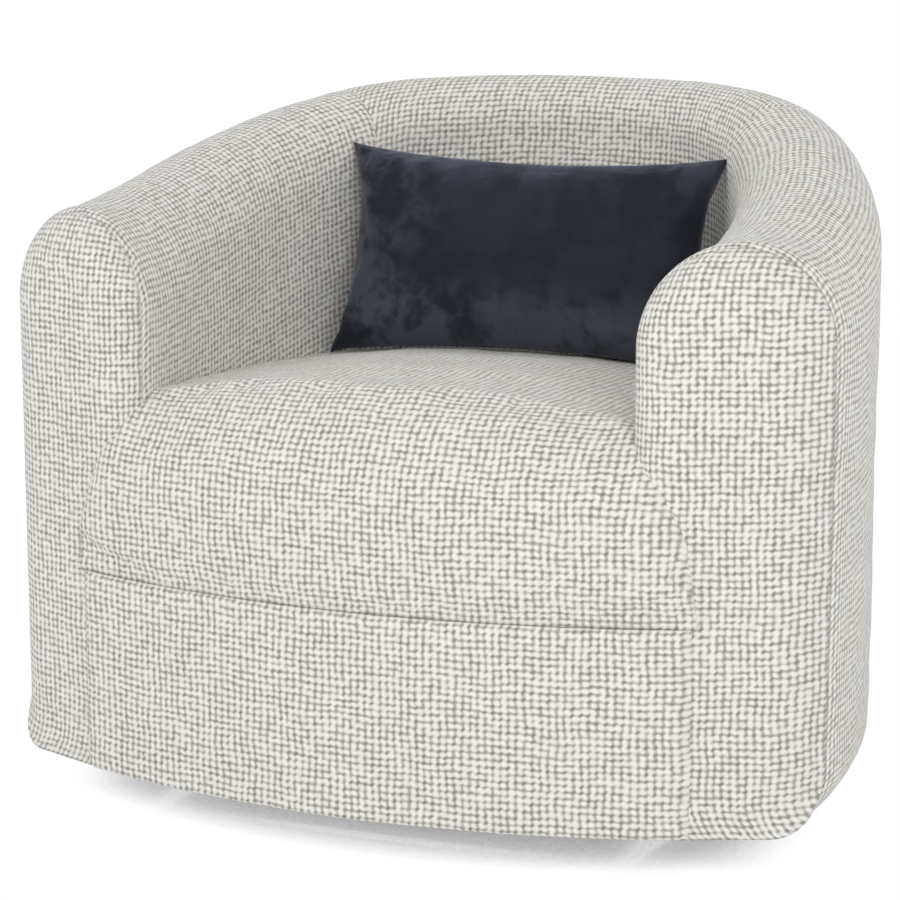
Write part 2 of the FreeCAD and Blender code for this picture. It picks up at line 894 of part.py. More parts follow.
def rail_plan(inset, half, back_y):
    """Plan of the front rail's padding: the bowed front and a straight back."""
    ends = [Vector(sx * half, front_arc_y(half, inset), 0) for sx in (-1, 1)]
    bow = arc(ends[0], Vector(0, front_y + inset, 0), ends[1])
    rear = [Vector(half, back_y, 0), Vector(-half, back_y, 0)]
    return Part.Wire([bow, line(ends[1], rear[0]), line(rear[0], rear[1]), line(rear[1], ends[0])])


def rail_block(inset, half, back_y, z0, z1):
    face = Part.Face(rail_plan(inset, half, back_y))
    face.translate(Vector(0, 0, z0))
    return face.extrude(up * (z1 - z0))


def front_rail_parts(walls):
    """The front rail's padding and cover, fitted between the arms' rounded fronts."""
    rear = front_board_y - board_t - wood_gap
    outer = rail_block(0, rail_half_width, rear, rail_bottom_z, seam_z)
    front_edges = [edge for edge in outer.Edges if edge.Curve.TypeId == "Part::GeomCircle"]
    outer = outer.makeFillet(rail_edge_round, front_edges)
    low = rail_bottom_z - cut_below
    inner = rail_block(cover_t, rail_half_width + cut_below, rear + cut_below, low, seam_z - cover_t)
    skin = outer.cut([inner] + walls)
    depth = cover_t + soft_gap
    pad = rail_block(depth, rail_half_width - depth, rear, rail_bottom_z, seam_z - depth)
    pad = pad.cut(walls)
    return largest(pad), largest(skin)


def seat_section(x, grow):
    """Outline of the seat from front to back at a place across it. The seat swells to a crown
    in the middle, and falls away at its sides, where it laps over the arms' rounded fronts."""
    ax = abs(x)
    swell = seat_crown * (1 - min(ax / seat_side_x, 1.0) ** 2)
    past = max(ax - seat_side_x, 0.0) / (seat_fall_x - seat_side_x)
    share = (1 - past**seat_fall_power) ** seat_fall_root
    z0 = seam_z + soft_gap
    front = front_arc_y(x) + seat_setback - grow
    brow = front - seat_bulge * share
    run = seat_nose_run * (seat_nose_least + (1 - seat_nose_least) * share)
    top = z0 + (seat_side_z - z0) * share + swell + grow
    rear_z = z0 + (seat_back_z - z0) * share + swell * seat_back_crown + grow
    a = Vector(x, front, z0)
    b = Vector(x, brow, z0 + (seat_brow_z - z0) * share)
    c = Vector(x, brow + run, top)
    d = Vector(x, seat_back_y, rear_z)
    crown = Part.Arc(c, (c + d) * 0.5 + up * (seat_bow * share + swell * seat_crown_bow), d)
    start = crown.tangent(crown.FirstParameter)[0]
    edges = [line(Vector(x, seat_back_y, z0), a), tangent_arc(b, up * -1, a)]
    edges += biarc(b, up, c, start)
    edges += [crown.toShape(), line(d, Vector(x, seat_back_y, z0))]
    return Part.Wire(Part.sortEdges(edges)[0])


def seat_form(grow, reach):
    """The seat's whole form, its sections close together where it falls away at the sides."""
    half = [seat_side_x * share for share in (0.0, 0.35, 0.65, 0.87, 1.0)]
    half += [seat_side_x + reach * share for share in (0.22, 0.42, 0.62, 0.8, 0.92, 1.0)]
    places = [-x for x in reversed(half[1:])] + half
    return loft([seat_section(x, grow) for x in places])


def seat_parts(walls):
    """The seat's padding and its cover, cut to the walls round them."""
    reach = seat_lap_x - seat_side_x
    skin = seat_form(0.0, reach)
    inner = seat_form(-cover_t, reach - cover_t)
    far = 2 * seat_lap_x
    below = box(-far, far, -far, far, seam_z - cut_below, seam_z + soft_gap)
    skin = skin.cut(inner.fuse(below)).cut(walls)
    pad = seat_form(-cover_t - soft_gap, reach - cover_t - soft_gap).cut(walls)
    return largest(pad), largest(skin)


def seat_spring_xs():
    first = -seat_spring_pitch * (seat_spring_count - 1) / 2
    return [first + seat_spring_pitch * i for i in range(seat_spring_count)]


def seat_wire_z():
    return frame_top_z + spring_wire_d


def seat_spring(x):
    """A sinuous spring: straight ends in the clips and half-round loops between them."""
    y0 = front_board_y - board_t / 2
    y1 = back_board_y + board_t / 2
    z = seat_wire_z()
    loops = int((y1 - y0 - 2 * seat_spring_lead) / seat_loop_pitch)
    start = (y0 + y1) / 2 - loops * seat_loop_pitch / 2
    bend = seat_loop_pitch / 2
    reach = seat_spring_half - bend
    edges = [line(Vector(x, y0 - clip_l / 2, z), Vector(x, start - bend, z))]
    side = 1
    q = math.sqrt(0.5)
    edges.append(arc(Vector(x, start - bend, z), Vector(x + bend * (1 - q), start - bend * (1 - q), z),
                     Vector(x + bend, start, z)))
    spot = Vector(x + bend, start, z)
    for i in range(loops):
        near = Vector(x + side * reach, start + i * seat_loop_pitch, z)
        far = near + Vector(0, 2 * bend, 0)
        edges.append(line(spot, near))
        edges.append(arc(near, near + Vector(side * bend, bend, 0), far))
        spot = far
        side = -side
    turn = Vector(x - side * bend, spot.y, z)
    tail = Vector(x, spot.y + bend, z)
    edges.append(line(spot, turn))
    edges.append(arc(turn, turn + Vector(side * bend * q, bend * (1 - q), 0), tail))
    edges.append(line(tail, Vector(x, y1 + clip_l / 2, z)))
    ring = Part.Wire([Part.makeCircle(spring_wire_d / 2, Vector(x, y0 - clip_l / 2, z), Vector(0, 1, 0))])
    return Part.Wire(edges).makePipeShell([ring], True, False)


def seat_springs():
    return [seat_spring(x) for x in seat_spring_xs()]


def spring_clips():
    """Clips on the front and back boards that the springs' ends lie in."""
    clips = []
    high = seat_wire_z() + clip_cover * spring_wire_d
    for y in (front_board_y - board_t / 2, back_board_y + board_t / 2):
        for x in seat_spring_xs():
            clip = box(x - clip_w / 2, x + clip_w / 2, y - clip_l / 2, y + clip_l / 2, frame_top_z, high)
            start = Vector(x, y - clip_l, seat_wire_z())
            clips.append(clip.cut(rod(spring_wire_d / 2 + clip_gap, start, Vector(0, 1, 0), 2 * clip_l)))
    return clips


def frame_plan(margin):
    y0 = front_board_y - board_t + margin
    y1 = back_board_y + board_t - margin
    right = [(side_x(y, False) - margin, y) for y in (y0, y1)]
    return right + [(-x, y) for x, y in reversed(right)]


def deck_cloth():
    low = seam_z - cloth_t - 2 * fit_gap
    return prism(frame_plan(deck_margin), low, low + cloth_t)


def dust_cover():
    """The dark cloth under the seat frame, open round the rocker unit."""
    low = frame_bottom_z - cloth_t
    sheet = prism(frame_plan(dust_margin), low, frame_bottom_z)
    hole_r = math.hypot(plate_half_x, plate_half_y) + dust_hole_gap
    return sheet.cut(rod(hole_r, Vector(0, 0, low), up, cloth_t))


def pillow_section(x, grow):
    """A lens across the pillow: two arcs that meet in the seam, drawn in between the corners."""
    u = min(abs(x) / pillow_half_w, 1.0)
    half_h = pillow_half_h - pillow_draw * (1 - u**pillow_draw_power) + grow
    swell = (1 - u**pillow_fall_power) ** pillow_fall_root
    half_t = pillow_edge_t + (pillow_half_t - pillow_edge_t) * swell + grow
    low = Vector(x, 0, -half_h)
    high = Vector(x, 0, half_h)
    return Part.Wire([arc(low, Vector(x, -half_t, 0), high), arc(high, Vector(x, half_t, 0), low)])


def pillow_form(grow):
    half = [share * (pillow_half_w + grow) for share in pillow_shares]
    places = [-x for x in reversed(half[1:])] + half
    return loft([pillow_section(x, grow) for x in places])


def pillow_parts():
    """The pillow's front and back panels, and the insert between them, leaning in the barrel."""
    skin = pillow_form(0.0).cut(pillow_form(-pillow_skin))
    reach = 2 * pillow_half_w
    front = largest(skin.common(box(-reach, reach, -reach, 0, -reach, reach)))
    back = largest(skin.common(box(-reach, reach, 0, reach, -reach, reach)))
    insert = pillow_form(-pillow_skin - soft_gap)
    place = Matrix()
    place.rotateY(math.radians(pillow_roll_deg))
    place.rotateX(-math.radians(pillow_lean_deg))
    place.rotateZ(math.radians(pillow_turn_deg))
    place.move(Vector(pillow_x, pillow_y, pillow_z))
    return [shape.transformGeometry(place) for shape in (front, back, insert)]


def pair(name, shape):
    save("right_" + name, shape)
    save("left_" + name, mirrored(shape))


save("floor_ring", floor_ring())
save("floor_glides", floor_glides())
save("spider_arms", spider_arms())
save("hub_plate", hub_plate())
save("lower_race", race(hub_top))
save("king_bolt", king_bolt())
save("thrust_washer", thrust_washer())
save("king_nut", king_nut())
save("ball_cage", ball_cage())
save("bearing_balls", bearing_balls())
save("upper_race", race(upper_race_z))
save("turntable_plate", turntable_plate())
save("pivot_cheeks", pivot_cheeks())
save("cheek_rivets", cheek_rivets())
save("rocker_axle", rocker_axle())
save("axle_rings", axle_rings())
save("lower_spring_cups", lower_cups())
save("bump_stops", bump_stops())
save("front_rocker_springs", rocker_springs(-1))
save("back_rocker_springs", rocker_springs(1))
save("upper_spring_cups", upper_cups())
save("rocker_bushes", rocker_bushes())
save("rocker_hangers", rocker_hangers())
save("rocker_bars", rocker_bars())
save("mech_bolts", mech_bolts())
save("mech_nuts", mech_nuts())
save("cross_rails", [cross_rail(-1), cross_rail(1)])
save("front_board", front_board())
save("back_board", back_board())
pair("side_board", side_boards())
save("corner_blocks", corner_blocks())
save("arm_bolts", arm_bolts())
save("arm_posts", both_sides([arm_post()]))
save("arm_bottom_rails", both_sides([arm_bottom_rail()]))
save("arm_top_rails", both_sides([arm_top_rail()]))
save("arm_slats", both_sides(arm_slats()))
save("back_bottom_rail", bottom_rail(back_seam_at, 2 - back_seam_at, 8))
save("back_top_rail", top_rail(back_seam_at, 2 - back_seam_at, 8))
save("back_slats", back_slats())
save("seat_springs", seat_springs())
save("spring_clips", spring_clips())
save("deck_cloth", deck_cloth())
save("dust_cover", dust_cover())
arm_foam, arm_cover, arm_panel = arm_parts()
pair("arm_foam", arm_foam)
pair("arm_cover", arm_cover)
pair("arm_front_panel", arm_panel)
back_foam, back_cover = back_parts()
save("back_foam", back_foam)
save("back_cover", back_cover)
walls = wall_forms()
rail_foam, rail_cover = front_rail_parts(walls)
save("front_rail_foam", rail_foam)
save("front_rail_cover", rail_cover)
seat_foam, seat_cover = seat_parts(walls)
save("seat_foam", seat_foam)
save("seat_cover", seat_cover)
pillow_front, pillow_back, pillow_insert = pillow_parts()
save("pillow_front_panel", pillow_front)
save("pillow_back_panel", pillow_back)
save("pillow_insert", pillow_insert)
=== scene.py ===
import json
import math

import bmesh
import bpy
import numpy as np
from bpy.props import FloatProperty, FloatVectorProperty, PointerProperty
from mathutils import Matrix, Vector
from mathutils.kdtree import KDTree


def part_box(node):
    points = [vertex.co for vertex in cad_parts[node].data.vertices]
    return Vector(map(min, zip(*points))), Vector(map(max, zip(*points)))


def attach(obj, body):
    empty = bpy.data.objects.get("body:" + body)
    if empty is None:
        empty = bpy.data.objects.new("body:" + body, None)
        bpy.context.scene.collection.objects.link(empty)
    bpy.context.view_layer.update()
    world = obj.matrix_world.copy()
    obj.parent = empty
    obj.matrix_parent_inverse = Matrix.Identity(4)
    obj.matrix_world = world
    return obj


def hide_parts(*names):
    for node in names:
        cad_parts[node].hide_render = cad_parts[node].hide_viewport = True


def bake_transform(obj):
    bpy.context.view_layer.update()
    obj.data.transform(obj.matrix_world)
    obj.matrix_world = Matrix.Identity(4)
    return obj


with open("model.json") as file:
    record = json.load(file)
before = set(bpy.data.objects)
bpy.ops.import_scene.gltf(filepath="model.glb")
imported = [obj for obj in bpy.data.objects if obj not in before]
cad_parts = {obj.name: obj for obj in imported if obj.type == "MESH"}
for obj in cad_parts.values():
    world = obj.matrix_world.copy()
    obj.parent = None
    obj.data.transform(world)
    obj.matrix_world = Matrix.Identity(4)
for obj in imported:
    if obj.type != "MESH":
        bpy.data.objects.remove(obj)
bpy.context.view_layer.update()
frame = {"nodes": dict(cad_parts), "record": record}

bl_info = {
    "name": "Swivel rocker upholstery",
    "version": (1, 0, 0),
    "blender": (4, 5, 0),
    "location": "3D View > Sidebar > Rocker",
    "description": "Dresses the frame of a barrel-backed swivel rocker in tweed and velvet",
    "category": "Add Mesh",
}

CENTRE_BACK = 1.0  # the wall's place value at the middle of the back
FINEST = 0.00001  # edges under this length are dissolved
TWEED_CELL = (0.0077, 0.0071)  # pitch of the yarns across and along
ROLL_PITCH = 0.009  # length of a roll's quads along the wall
ROLL_WAVE, PANEL_WAVE, RAIL_WAVE = 0.0011, 0.0008, 0.0011  # unevenness of the tight covers
SEAT_WAVE = (0.0018, 0.0022)  # unevenness of the seat, forward and up
CLOTH_QUAD, CLOTH_FRAMES, CLOTH_PRESSURE, CLOTH_SLACK = 0.006, 20, 4.0, 0.04
SEAT_GIVE, PILLOW_GIVE = 0.004, 0.006  # how far a cover may follow its cloth at most
SEAT_HELD = 0.012  # height over its seam up to which the seat's cloth is held
BOTTOM_STEPS, HEM_STEPS, SIDE_STEPS, ARCH_STEPS, LEDGE_STEPS, DOWN_STEPS = 14, 12, 64, 22, 4, 20
COIL_RADIUS, WIRE_RADIUS, COIL_TURNS = 0.018, 0.003, 5


def length(name, value, words, low=0.0):
    """A size in metres that a user may change."""
    return FloatProperty(name=name, description=words, default=value, min=low, unit="LENGTH",
                         precision=4)


def angle(name, degrees, words):
    """An angle that a user may change, given in degrees."""
    return FloatProperty(name=name, description=words, default=math.radians(degrees), subtype="ANGLE")


def place(name, value, words):
    """A place along the wall, where 1 is the middle of the back."""
    return FloatProperty(name=name, description=words, default=value)


def colour(name, value, words):
    """A colour in linear light."""
    return FloatVectorProperty(name=name, description=words, default=value, min=0.0, max=1.0, size=3,
                               subtype="COLOR")


class WallSizes(bpy.types.PropertyGroup):
    """The roll that runs along one arm, round the back and along the other arm."""

    bottom: length("Bottom", 0.040, "Height of the shell's lower edge over the floor")
    arm_top: length("Arm height", 0.627, "Height of the arms at the front")
    back_top: length("Back height", 0.724, "Height of the back at its middle")
    arm_half: length("Arm half width", 0.090, "Half the thickness of an arm")
    back_half: length("Back half width", 0.062, "Half the thickness of the back at its top")
    line_x: length("Arm line", 0.357, "Distance of an arm's centre line from the middle")
    line_y: length("Arm line start", -0.258, "Place where the arm's centre line starts to bend", -2.0)
    splay: angle("Splay", 4.5, "Outward turn of the arms")
    toe_ends: place("Toe", 0.35, "Place where the arm's turn inward has faded")
    arm_pull: length("Arm pull", 0.296, "How far the arm runs on before it turns to the back")
    back_pull: length("Back pull", 0.282, "How flat the back stays at its middle")
    back_y: length("Back line", 0.346, "Depth of the back's centre line")
    seam_at: place("Back seam", 0.58, "Place of the back seams along the wall")
    lean: angle("Back lean", 15.0, "Slope of the inside back")
    round_front: length("Front rounding", 0.057, "Radius of the arm's front edges")
    hem: length("Hem rounding", 0.060, "Radius of the lower outer edge")
    panel_depth: length("Panel depth", 0.038, "How far the arm's front panel wraps back")
    front_y: length("Front", -0.408, "Most forward point of the bowed front", -2.0)
    front_radius: length("Front radius", 0.944, "Radius of the bowed front in plan")
    setback: length("Arm setback", 0.010, "How far the arm faces stand behind the rail's bow")
    seam_z: length("Seat seam", 0.257, "Height of the seam between the seat and the front rail")


class SeatSizes(bpy.types.PropertyGroup):
    """The tight seat and the front rail under it."""

    rail_bottom: length("Rail bottom", 0.044, "Height of the front rail's lower edge")
    rail_half: length("Rail half width", 0.332, "Half the width of the front rail's cover")
    shoulder_x: length("Shoulder", 0.264, "Where the seat starts to fall away to its sides")
    lap_x: length("Lap", 0.336, "Half the width of the seat at its seam")
    side_z: length("Side height", 0.4427, "Height of the seat beside the arms")
    crown: length("Crown", 0.026, "Extra height in the middle of the seat")
    back_z: length("Back height", 0.3968, "Height of the seat at the inside back")
    back_y: length("Seat depth", 0.250, "Where the seat ends inside the back")
    bow: length("Bow", 0.003, "Upward bow of the seat from its nose to the back")
    nose_run: length("Nose", 0.080, "Depth of the rounded front edge")
    brow_z: length("Brow", 0.345, "Height of the seat's most forward line")
    bulge: length("Bulge", 0.008, "How far the seat's front swells")
    corner: length("Rear corners", 0.13, "How far the seat's rear corners are cut back inside the wall")
    square_x: length("Square part", 0.20, "How far from the middle the seat's rear edge runs straight")
    setback: length("Seat setback", 0.005, "How far the seat's seam lies behind the rail's face")


class PillowSizes(bpy.types.PropertyGroup):
    """The loose lumbar pillow."""

    half_w: length("Half width", 0.2165, "Half the pillow's width between its corners")
    half_h: length("Half height", 0.1255, "Half the pillow's height between its corners")
    half_t: length("Half thickness", 0.054, "Half the pillow's thickness at its middle")
    turn: angle("Turn", 3.6, "Turn about the upright")
    lean: angle("Lean", 19.6, "Backward lean")
    roll: angle("Roll", 0.6, "Sideways roll")


class Colours(bpy.types.PropertyGroup):
    """Colours of the two fabrics and of the floor."""

    yarn: colour("Ivory yarn", (0.83, 0.805, 0.745), "The raised ivory yarns of the tweed")
    ground: colour("Taupe yarn", (0.40, 0.38, 0.345), "The soft lines between the ivory yarns")
    knot: colour("Dark knots", (0.17, 0.157, 0.135), "The small dark gaps where the lines cross")
    velvet: colour("Velvet", (0.0130, 0.0155, 0.0230), "The pile of the velvet pillow")
    floor: colour("Floor", (0.93, 0.93, 0.93), "The floor under the chair")


class Shade:
    """One value of a material's node tree. Arithmetic on it adds Math nodes."""

    def __init__(self, finish, socket):
        self.finish = finish
        self.socket = socket

    def math(self, operation, *others):
        return self.finish.node("ShaderNodeMath", {"operation": operation},
                                {0: self, **dict(enumerate(others, 1))})

    def __add__(self, other):
        return self.math("ADD", other)

    def __sub__(self, other):
        return self.math("SUBTRACT", other)

    def __rsub__(self, other):
        return self.finish.node("ShaderNodeMath", {"operation": "SUBTRACT"}, {0: other, 1: self})

    def __mul__(self, other):
        return self.math("MULTIPLY", other)

    __radd__ = __add__
    __rmul__ = __mul__

    def step(self, low, high):
        """0 below low, 1 above high and smooth between."""
        return self.finish.node("ShaderNodeMapRange", {"interpolation_type": "SMOOTHSTEP"},
                                {"Value": self, "From Min": low, "From Max": high})


class Finish:
    """A material that ends in a Principled shader."""

    def __init__(self, name, **constants):
        self.material = bpy.data.materials.new(name)
        self.material.use_nodes = True
        self.tree = self.material.node_tree
        self.shader = self.tree.nodes["Principled BSDF"]
        for socket, value in constants.items():
            self.shader.inputs[socket.replace("_", " ")].default_value = value

    def node(self, kind, settings=None, values=None, out=0):
        """Adds a node, sets its settings and then its sockets, and returns one of its outputs."""
        node = self.tree.nodes.new(kind)
        for key, value in (settings or {}).items():
            setattr(node, key, value)
        for key, value in (values or {}).items():
            if isinstance(value, Shade):
                self.tree.links.new(value.socket, node.inputs[key])
            else:
                node.inputs[key].default_value = value
        return Shade(self, node.outputs[out])

    def feed(self, socket, value):
        self.tree.links.new(value.socket, self.shader.inputs[socket])

    def coords(self, kind):
        return self.node("ShaderNodeTexCoord", out=kind)

    def scaled(self, vector, scale):
        return self.node("ShaderNodeVectorMath", {"operation": "MULTIPLY"}, {0: vector, 1: scale})

    def parts(self, vector):
        node = self.tree.nodes.new("ShaderNodeSeparateXYZ")
        self.tree.links.new(vector.socket, node.inputs[0])
        return [Shade(self, out) for out in node.outputs]

    def join(self, x, y, z=0.0):
        return self.node("ShaderNodeCombineXYZ", None, {0: x, 1: y, 2: z})

    def noise(self, vector, scale, detail=2.0, rough=0.5, out="Fac"):
        return self.node("ShaderNodeTexNoise", None,
                         {"Vector": vector, "Scale": scale, "Detail": detail, "Roughness": rough}, out)

    def random(self, x, y, seed):
        """A steady random number for each whole x and y."""
        return self.node("ShaderNodeTexWhiteNoise", {"noise_dimensions": "3D"},
                         {"Vector": self.join(x, y, seed)}, "Value")

    def mix(self, factor, first, second):
        """A colour between two colours."""
        node = self.tree.nodes.new("ShaderNodeMix")
        node.data_type = "RGBA"
        for i, value in ((0, factor), (6, first), (7, second)):
            if isinstance(value, Shade):
                self.tree.links.new(value.socket, node.inputs[i])
            else:
                node.inputs[i].default_value = (*value, 1.0) if i else value
        return Shade(self, node.outputs[2])

    def bump(self, height, distance, strength=1.0):
        return self.node("ShaderNodeBump", None,
                         {"Height": height, "Distance": distance, "Strength": strength})


def woven(t):
    """For a value counted in cells: the cell it lies in, the line nearest to it, how near that
    line is, from 0 to 1, and how far to its side."""
    cell, line = t.math("FLOOR"), (t + 0.5).math("FLOOR")
    return cell, line, ((t - cell) - 0.5).math("ABSOLUTE") * 2, t - line


def tweed():
    """Basket-woven tweed: ivory yarns in cells of about 7.5 mm, soft taupe lines between
    them and dark slanting knots where the lines cross. It is measured on the UV map, in metres."""
    tints = bpy.context.scene.rocker_colours
    cell = (1 / TWEED_CELL[0], 1 / TWEED_CELL[1], 1.0)
    wave, sway = 0.34, 0.9
    f = Finish("rocker tweed", Roughness=0.95, Sheen_Weight=0.25, Sheen_Roughness=0.6,
               Specular_IOR_Level=0.2)
    place = f.scaled(f.coords("UV"), cell)
    drift = f.parts(f.noise(place, 0.16, 1.0, out="Color"))
    wobble = f.parts(f.noise(place, 0.85, 2.0, 0.6, out="Color"))
    x, y, _ = f.parts(place)
    u = x + (wobble[0] - 0.5) * wave + (drift[0] - 0.5) * sway
    v = y + (wobble[1] - 0.5) * wave + (drift[1] - 0.5) * sway
    (cell_u, edge_u, near_u, off_u), (cell_v, edge_v, near_v, off_v) = woven(u), woven(v)
    line_u = near_u.step(0.18, 1.0) * (f.random(edge_u, cell_v, 1.5) * 0.55 + 0.30)
    line_v = near_v.step(0.20, 1.0) * (f.random(cell_u, edge_v, 7.5) * 0.60 + 0.25)
    raised = (1 - line_u) * (1 - line_v)
    across = 1 - (off_u - off_v).math("ABSOLUTE").step(0.02, 0.46)
    along = 1 - (off_u + off_v).math("ABSOLUTE").step(0.15, 0.80)
    knots = across * along * (f.random(edge_u, edge_v, 3.5) * 0.6 + 0.35)
    fibre = f.noise(place, 3.1, 3.0, 0.7)
    cells = f.random(cell_u, cell_v, 11.5)
    warmth = f.noise(place, 0.09, 2.0)
    cooler = tuple(c * s for c, s in zip(tints.yarn, (0.985, 1.0, 1.03)))
    shaded = tuple(0.78 * c for c in tints.yarn)
    ivory = f.mix(warmth.step(0.35, 0.65), tuple(tints.yarn), cooler)
    ivory = f.mix((cells * 0.22 + (fibre - 0.5) * 0.5).step(0.0, 0.45) * 0.42, ivory, shaded)
    body = f.mix(raised.step(0.05, 0.95), tuple(tints.ground), ivory)
    f.feed("Base Color", f.mix(knots * 0.85, body, tuple(tints.knot)))
    height = raised * 0.8 + (fibre - 0.5) * 0.28 + cells * 0.10 - knots * 0.35
    f.feed("Normal", f.bump(height, 0.0009, 0.8))
    return f.material


def velvet():
    """Crushed velvet: a dark blue pile whose nap lies in soft patches. Painted sheen lightens the
    patches, most along the lower, left and upper edges.
    """
    pile = tuple(bpy.context.scene.rocker_colours.velvet)
    f = Finish("rocker velvet", Roughness=0.8, Sheen_Weight=0.32, Sheen_Roughness=0.4,
               Specular_IOR_Level=0.12)
    f.shader.inputs["Sheen Tint"].default_value = (0.62, 0.68, 0.86, 1.0)
    place = f.coords("UV")
    bent = f.noise(place, 9.0, 3.0, 0.6, out="Color")
    swirl = f.node("ShaderNodeVectorMath", {"operation": "MULTIPLY_ADD"},
                   {0: bent, 1: (0.07, 0.07, 0.07), 2: place})
    patches = f.noise(swirl, 17.0, 4.0, 0.62)
    grain = f.noise(place, 900.0, 2.0, 0.7)
    across, up, _ = f.parts(place)
    # painted sheen: bands at the lower, left and upper edges lighten the crushed patches, which are
    # partly the nap's own pattern and partly painted sheen
    low, left, high = (0 - up).step(0.02, 0.11), (0 - across).step(0.05, 0.20), up.step(0.05, 0.12)
    edges = low * 0.95 + left * 0.75 + high * 0.45
    light = patches.step(0.38, 0.62) * (edges + 0.15)
    painted_sheen_pile = tuple(c * s for c, s in zip(pile, (4.6, 4.2, 3.8)))
    f.feed("Base Color", f.mix(light + grain * 0.06, pile, painted_sheen_pile))
    f.feed("Normal", f.bump(patches + grain * 0.12, 0.0022, 0.8))
    return f.material


def painted_steel(name, shade, rough=0.42):
    """Powder-coated steel: a fine orange-peel skin with small worn patches."""
    f = Finish(name, Metallic=0.0, Specular_IOR_Level=0.5)
    place = f.coords("Object")
    peel = f.noise(place, 900.0, 2.0)
    wear = f.noise(place, 24.0, 4.0, 0.7).step(0.58, 0.75)
    f.feed("Base Color", f.mix(wear * 0.35, shade, tuple(min(1.0, c * 2.2 + 0.02) for c in shade)))
    f.feed("Roughness", wear * 0.2 + rough)
    f.feed("Normal", f.bump(peel, 0.0002, 0.5))
    return f.material


def bright_steel(name, shade, rough=0.3):
    """Zinc-plated or drawn steel with fine scratches along one way."""
    f = Finish(name, Metallic=1.0)
    place = f.coords("Object")
    scratch = f.noise(f.scaled(place, (900.0, 900.0, 60.0)), 1.0, 3.0, 0.7)
    bloom = f.noise(place, 60.0, 3.0)
    f.feed("Base Color", f.mix(bloom, shade, tuple(0.82 * c for c in shade)))
    f.feed("Roughness", scratch * 0.18 + bloom * 0.12 + (rough - 0.12))
    f.feed("Normal", f.bump(scratch, 0.00008, 0.4))
    return f.material


def coil_steel():
    """The dark drawn wire of the springs."""
    return bright_steel("rocker coils", (0.20, 0.20, 0.21), 0.38)


def moulded(name, shade, rough=0.55):
    """Moulded nylon or rubber with a faint satin texture."""
    f = Finish(name, Specular_IOR_Level=0.4)
    place = f.coords("Object")
    texture = f.noise(place, 700.0, 3.0, 0.6)
    cloud = f.noise(place, 30.0, 2.0)
    f.feed("Base Color", f.mix(cloud, shade, tuple(0.88 * c for c in shade)))
    f.feed("Roughness", texture * 0.15 + rough)
    f.feed("Normal", f.bump(texture, 0.00015, 0.5))
    return f.material


def timber(name, shade, layers=0.0):
    """Sawn wood: rings stretched along X, with plies seen on edge where layers is over 0."""
    f = Finish(name, Specular_IOR_Level=0.3)
    place = f.coords("Object")
    grain = f.noise(f.scaled(place, (6.0, 90.0, 90.0)), 1.0, 4.0, 0.65)
    pores = f.noise(f.scaled(place, (40.0, 900.0, 900.0)), 1.0, 2.0)
    tone = grain * 0.7 + pores * 0.3
    if layers:
        ply = (f.parts(place)[2] * (math.tau / 0.0028)).math("SINE")
        tone = tone * (1 - layers) + (ply * 0.5 + 0.5) * layers
    f.feed("Base Color", f.mix(tone.step(0.3, 0.7), tuple(0.6 * c for c in shade), shade))
    f.feed("Roughness", pores * 0.2 + 0.6)
    f.feed("Normal", f.bump(tone, 0.0004, 0.5))
    return f.material


def thin_cloth(name, shade, pitch):
    """Plain-woven cloth seen flat: crossing threads at a pitch in metres, on Object coordinates."""
    f = Finish(name, Roughness=0.9, Specular_IOR_Level=0.15)
    x, y, _ = f.parts(f.coords("Object"))
    warp, weft = ((way * (math.tau / pitch)).math("SINE") for way in (x, y))
    weave = warp * weft * 0.5 + 0.5
    worn = f.noise(f.coords("Object"), 14.0, 3.0)
    f.feed("Base Color", f.mix(weave * 0.6 + worn * 0.4, tuple(0.55 * c for c in shade), shade))
    f.feed("Normal", f.bump(weave, 0.0003, 0.7))
    return f.material


def smooth(u):
    """Rise from 0 to 1 with flat ends: 3u^2 - 2u^3."""
    u = np.clip(u, 0.0, 1.0)
    return u * u * (3 - 2 * u)


def near_half(s):
    """The place on the first half of the wall that mirrors s."""
    return np.where(s > CENTRE_BACK, 2 * CENTRE_BACK - s, s)


class Wall:
    """Places along the wall's centre line. From the arm's front to place 1, the middle of the
    back, the line is a straight lead-in and then one cubic; past 1 it is the mirror image."""

    def __init__(self, s):
        w = bpy.context.scene.rocker_wall
        s = np.asarray(s, float)
        t = near_half(s)
        ahead = np.array([math.sin(w.splay), math.cos(w.splay)])
        start = np.array([w.line_x, w.line_y])
        ctrl = [start, start + ahead * w.arm_pull,
                np.array([w.back_pull, w.back_y]), np.array([0.0, w.back_y])]
        c = np.clip(t, 0.0, 1.0)[:, None]
        r = 1 - c
        centre = r**3 * ctrl[0] + 3 * r * r * c * ctrl[1] + 3 * r * c * c * ctrl[2] + c**3 * ctrl[3]
        along = (r * r * (ctrl[1] - ctrl[0]) + 2 * r * c * (ctrl[2] - ctrl[1])
                 + c * c * (ctrl[3] - ctrl[2]))
        centre = centre + np.minimum(t, 0.0)[:, None] * 3 * w.arm_pull * ahead
        turn = np.arctan2(-along[:, 0], along[:, 1])
        toe = (1 - smooth(t / w.toe_ends)) * (toe_angle() + w.splay)
        rise = smooth((centre[:, 1] - w.line_y) / (w.back_y - w.line_y))
        side = np.where(s > CENTRE_BACK, -1.0, 1.0)
        self.stretch = 1 / np.cos(toe)
        self.half = (w.arm_half + (w.back_half - w.arm_half) * rise) * self.stretch
        self.top = w.arm_top + (w.back_top - w.arm_top) * rise
        self.out = np.stack([np.cos(turn + toe) * side, np.sin(turn + toe)], 1)
        self.centre = centre * np.stack([side, np.ones_like(side)], 1)

    def points(self, outline):
        """Places of outlines (station, point, (w, z)) in the row frame."""
        flat = self.centre[:, None, :] + self.out[:, None, :] * outline[:, :, :1]
        return np.concatenate([flat, outline[:, :, 1:]], 2)


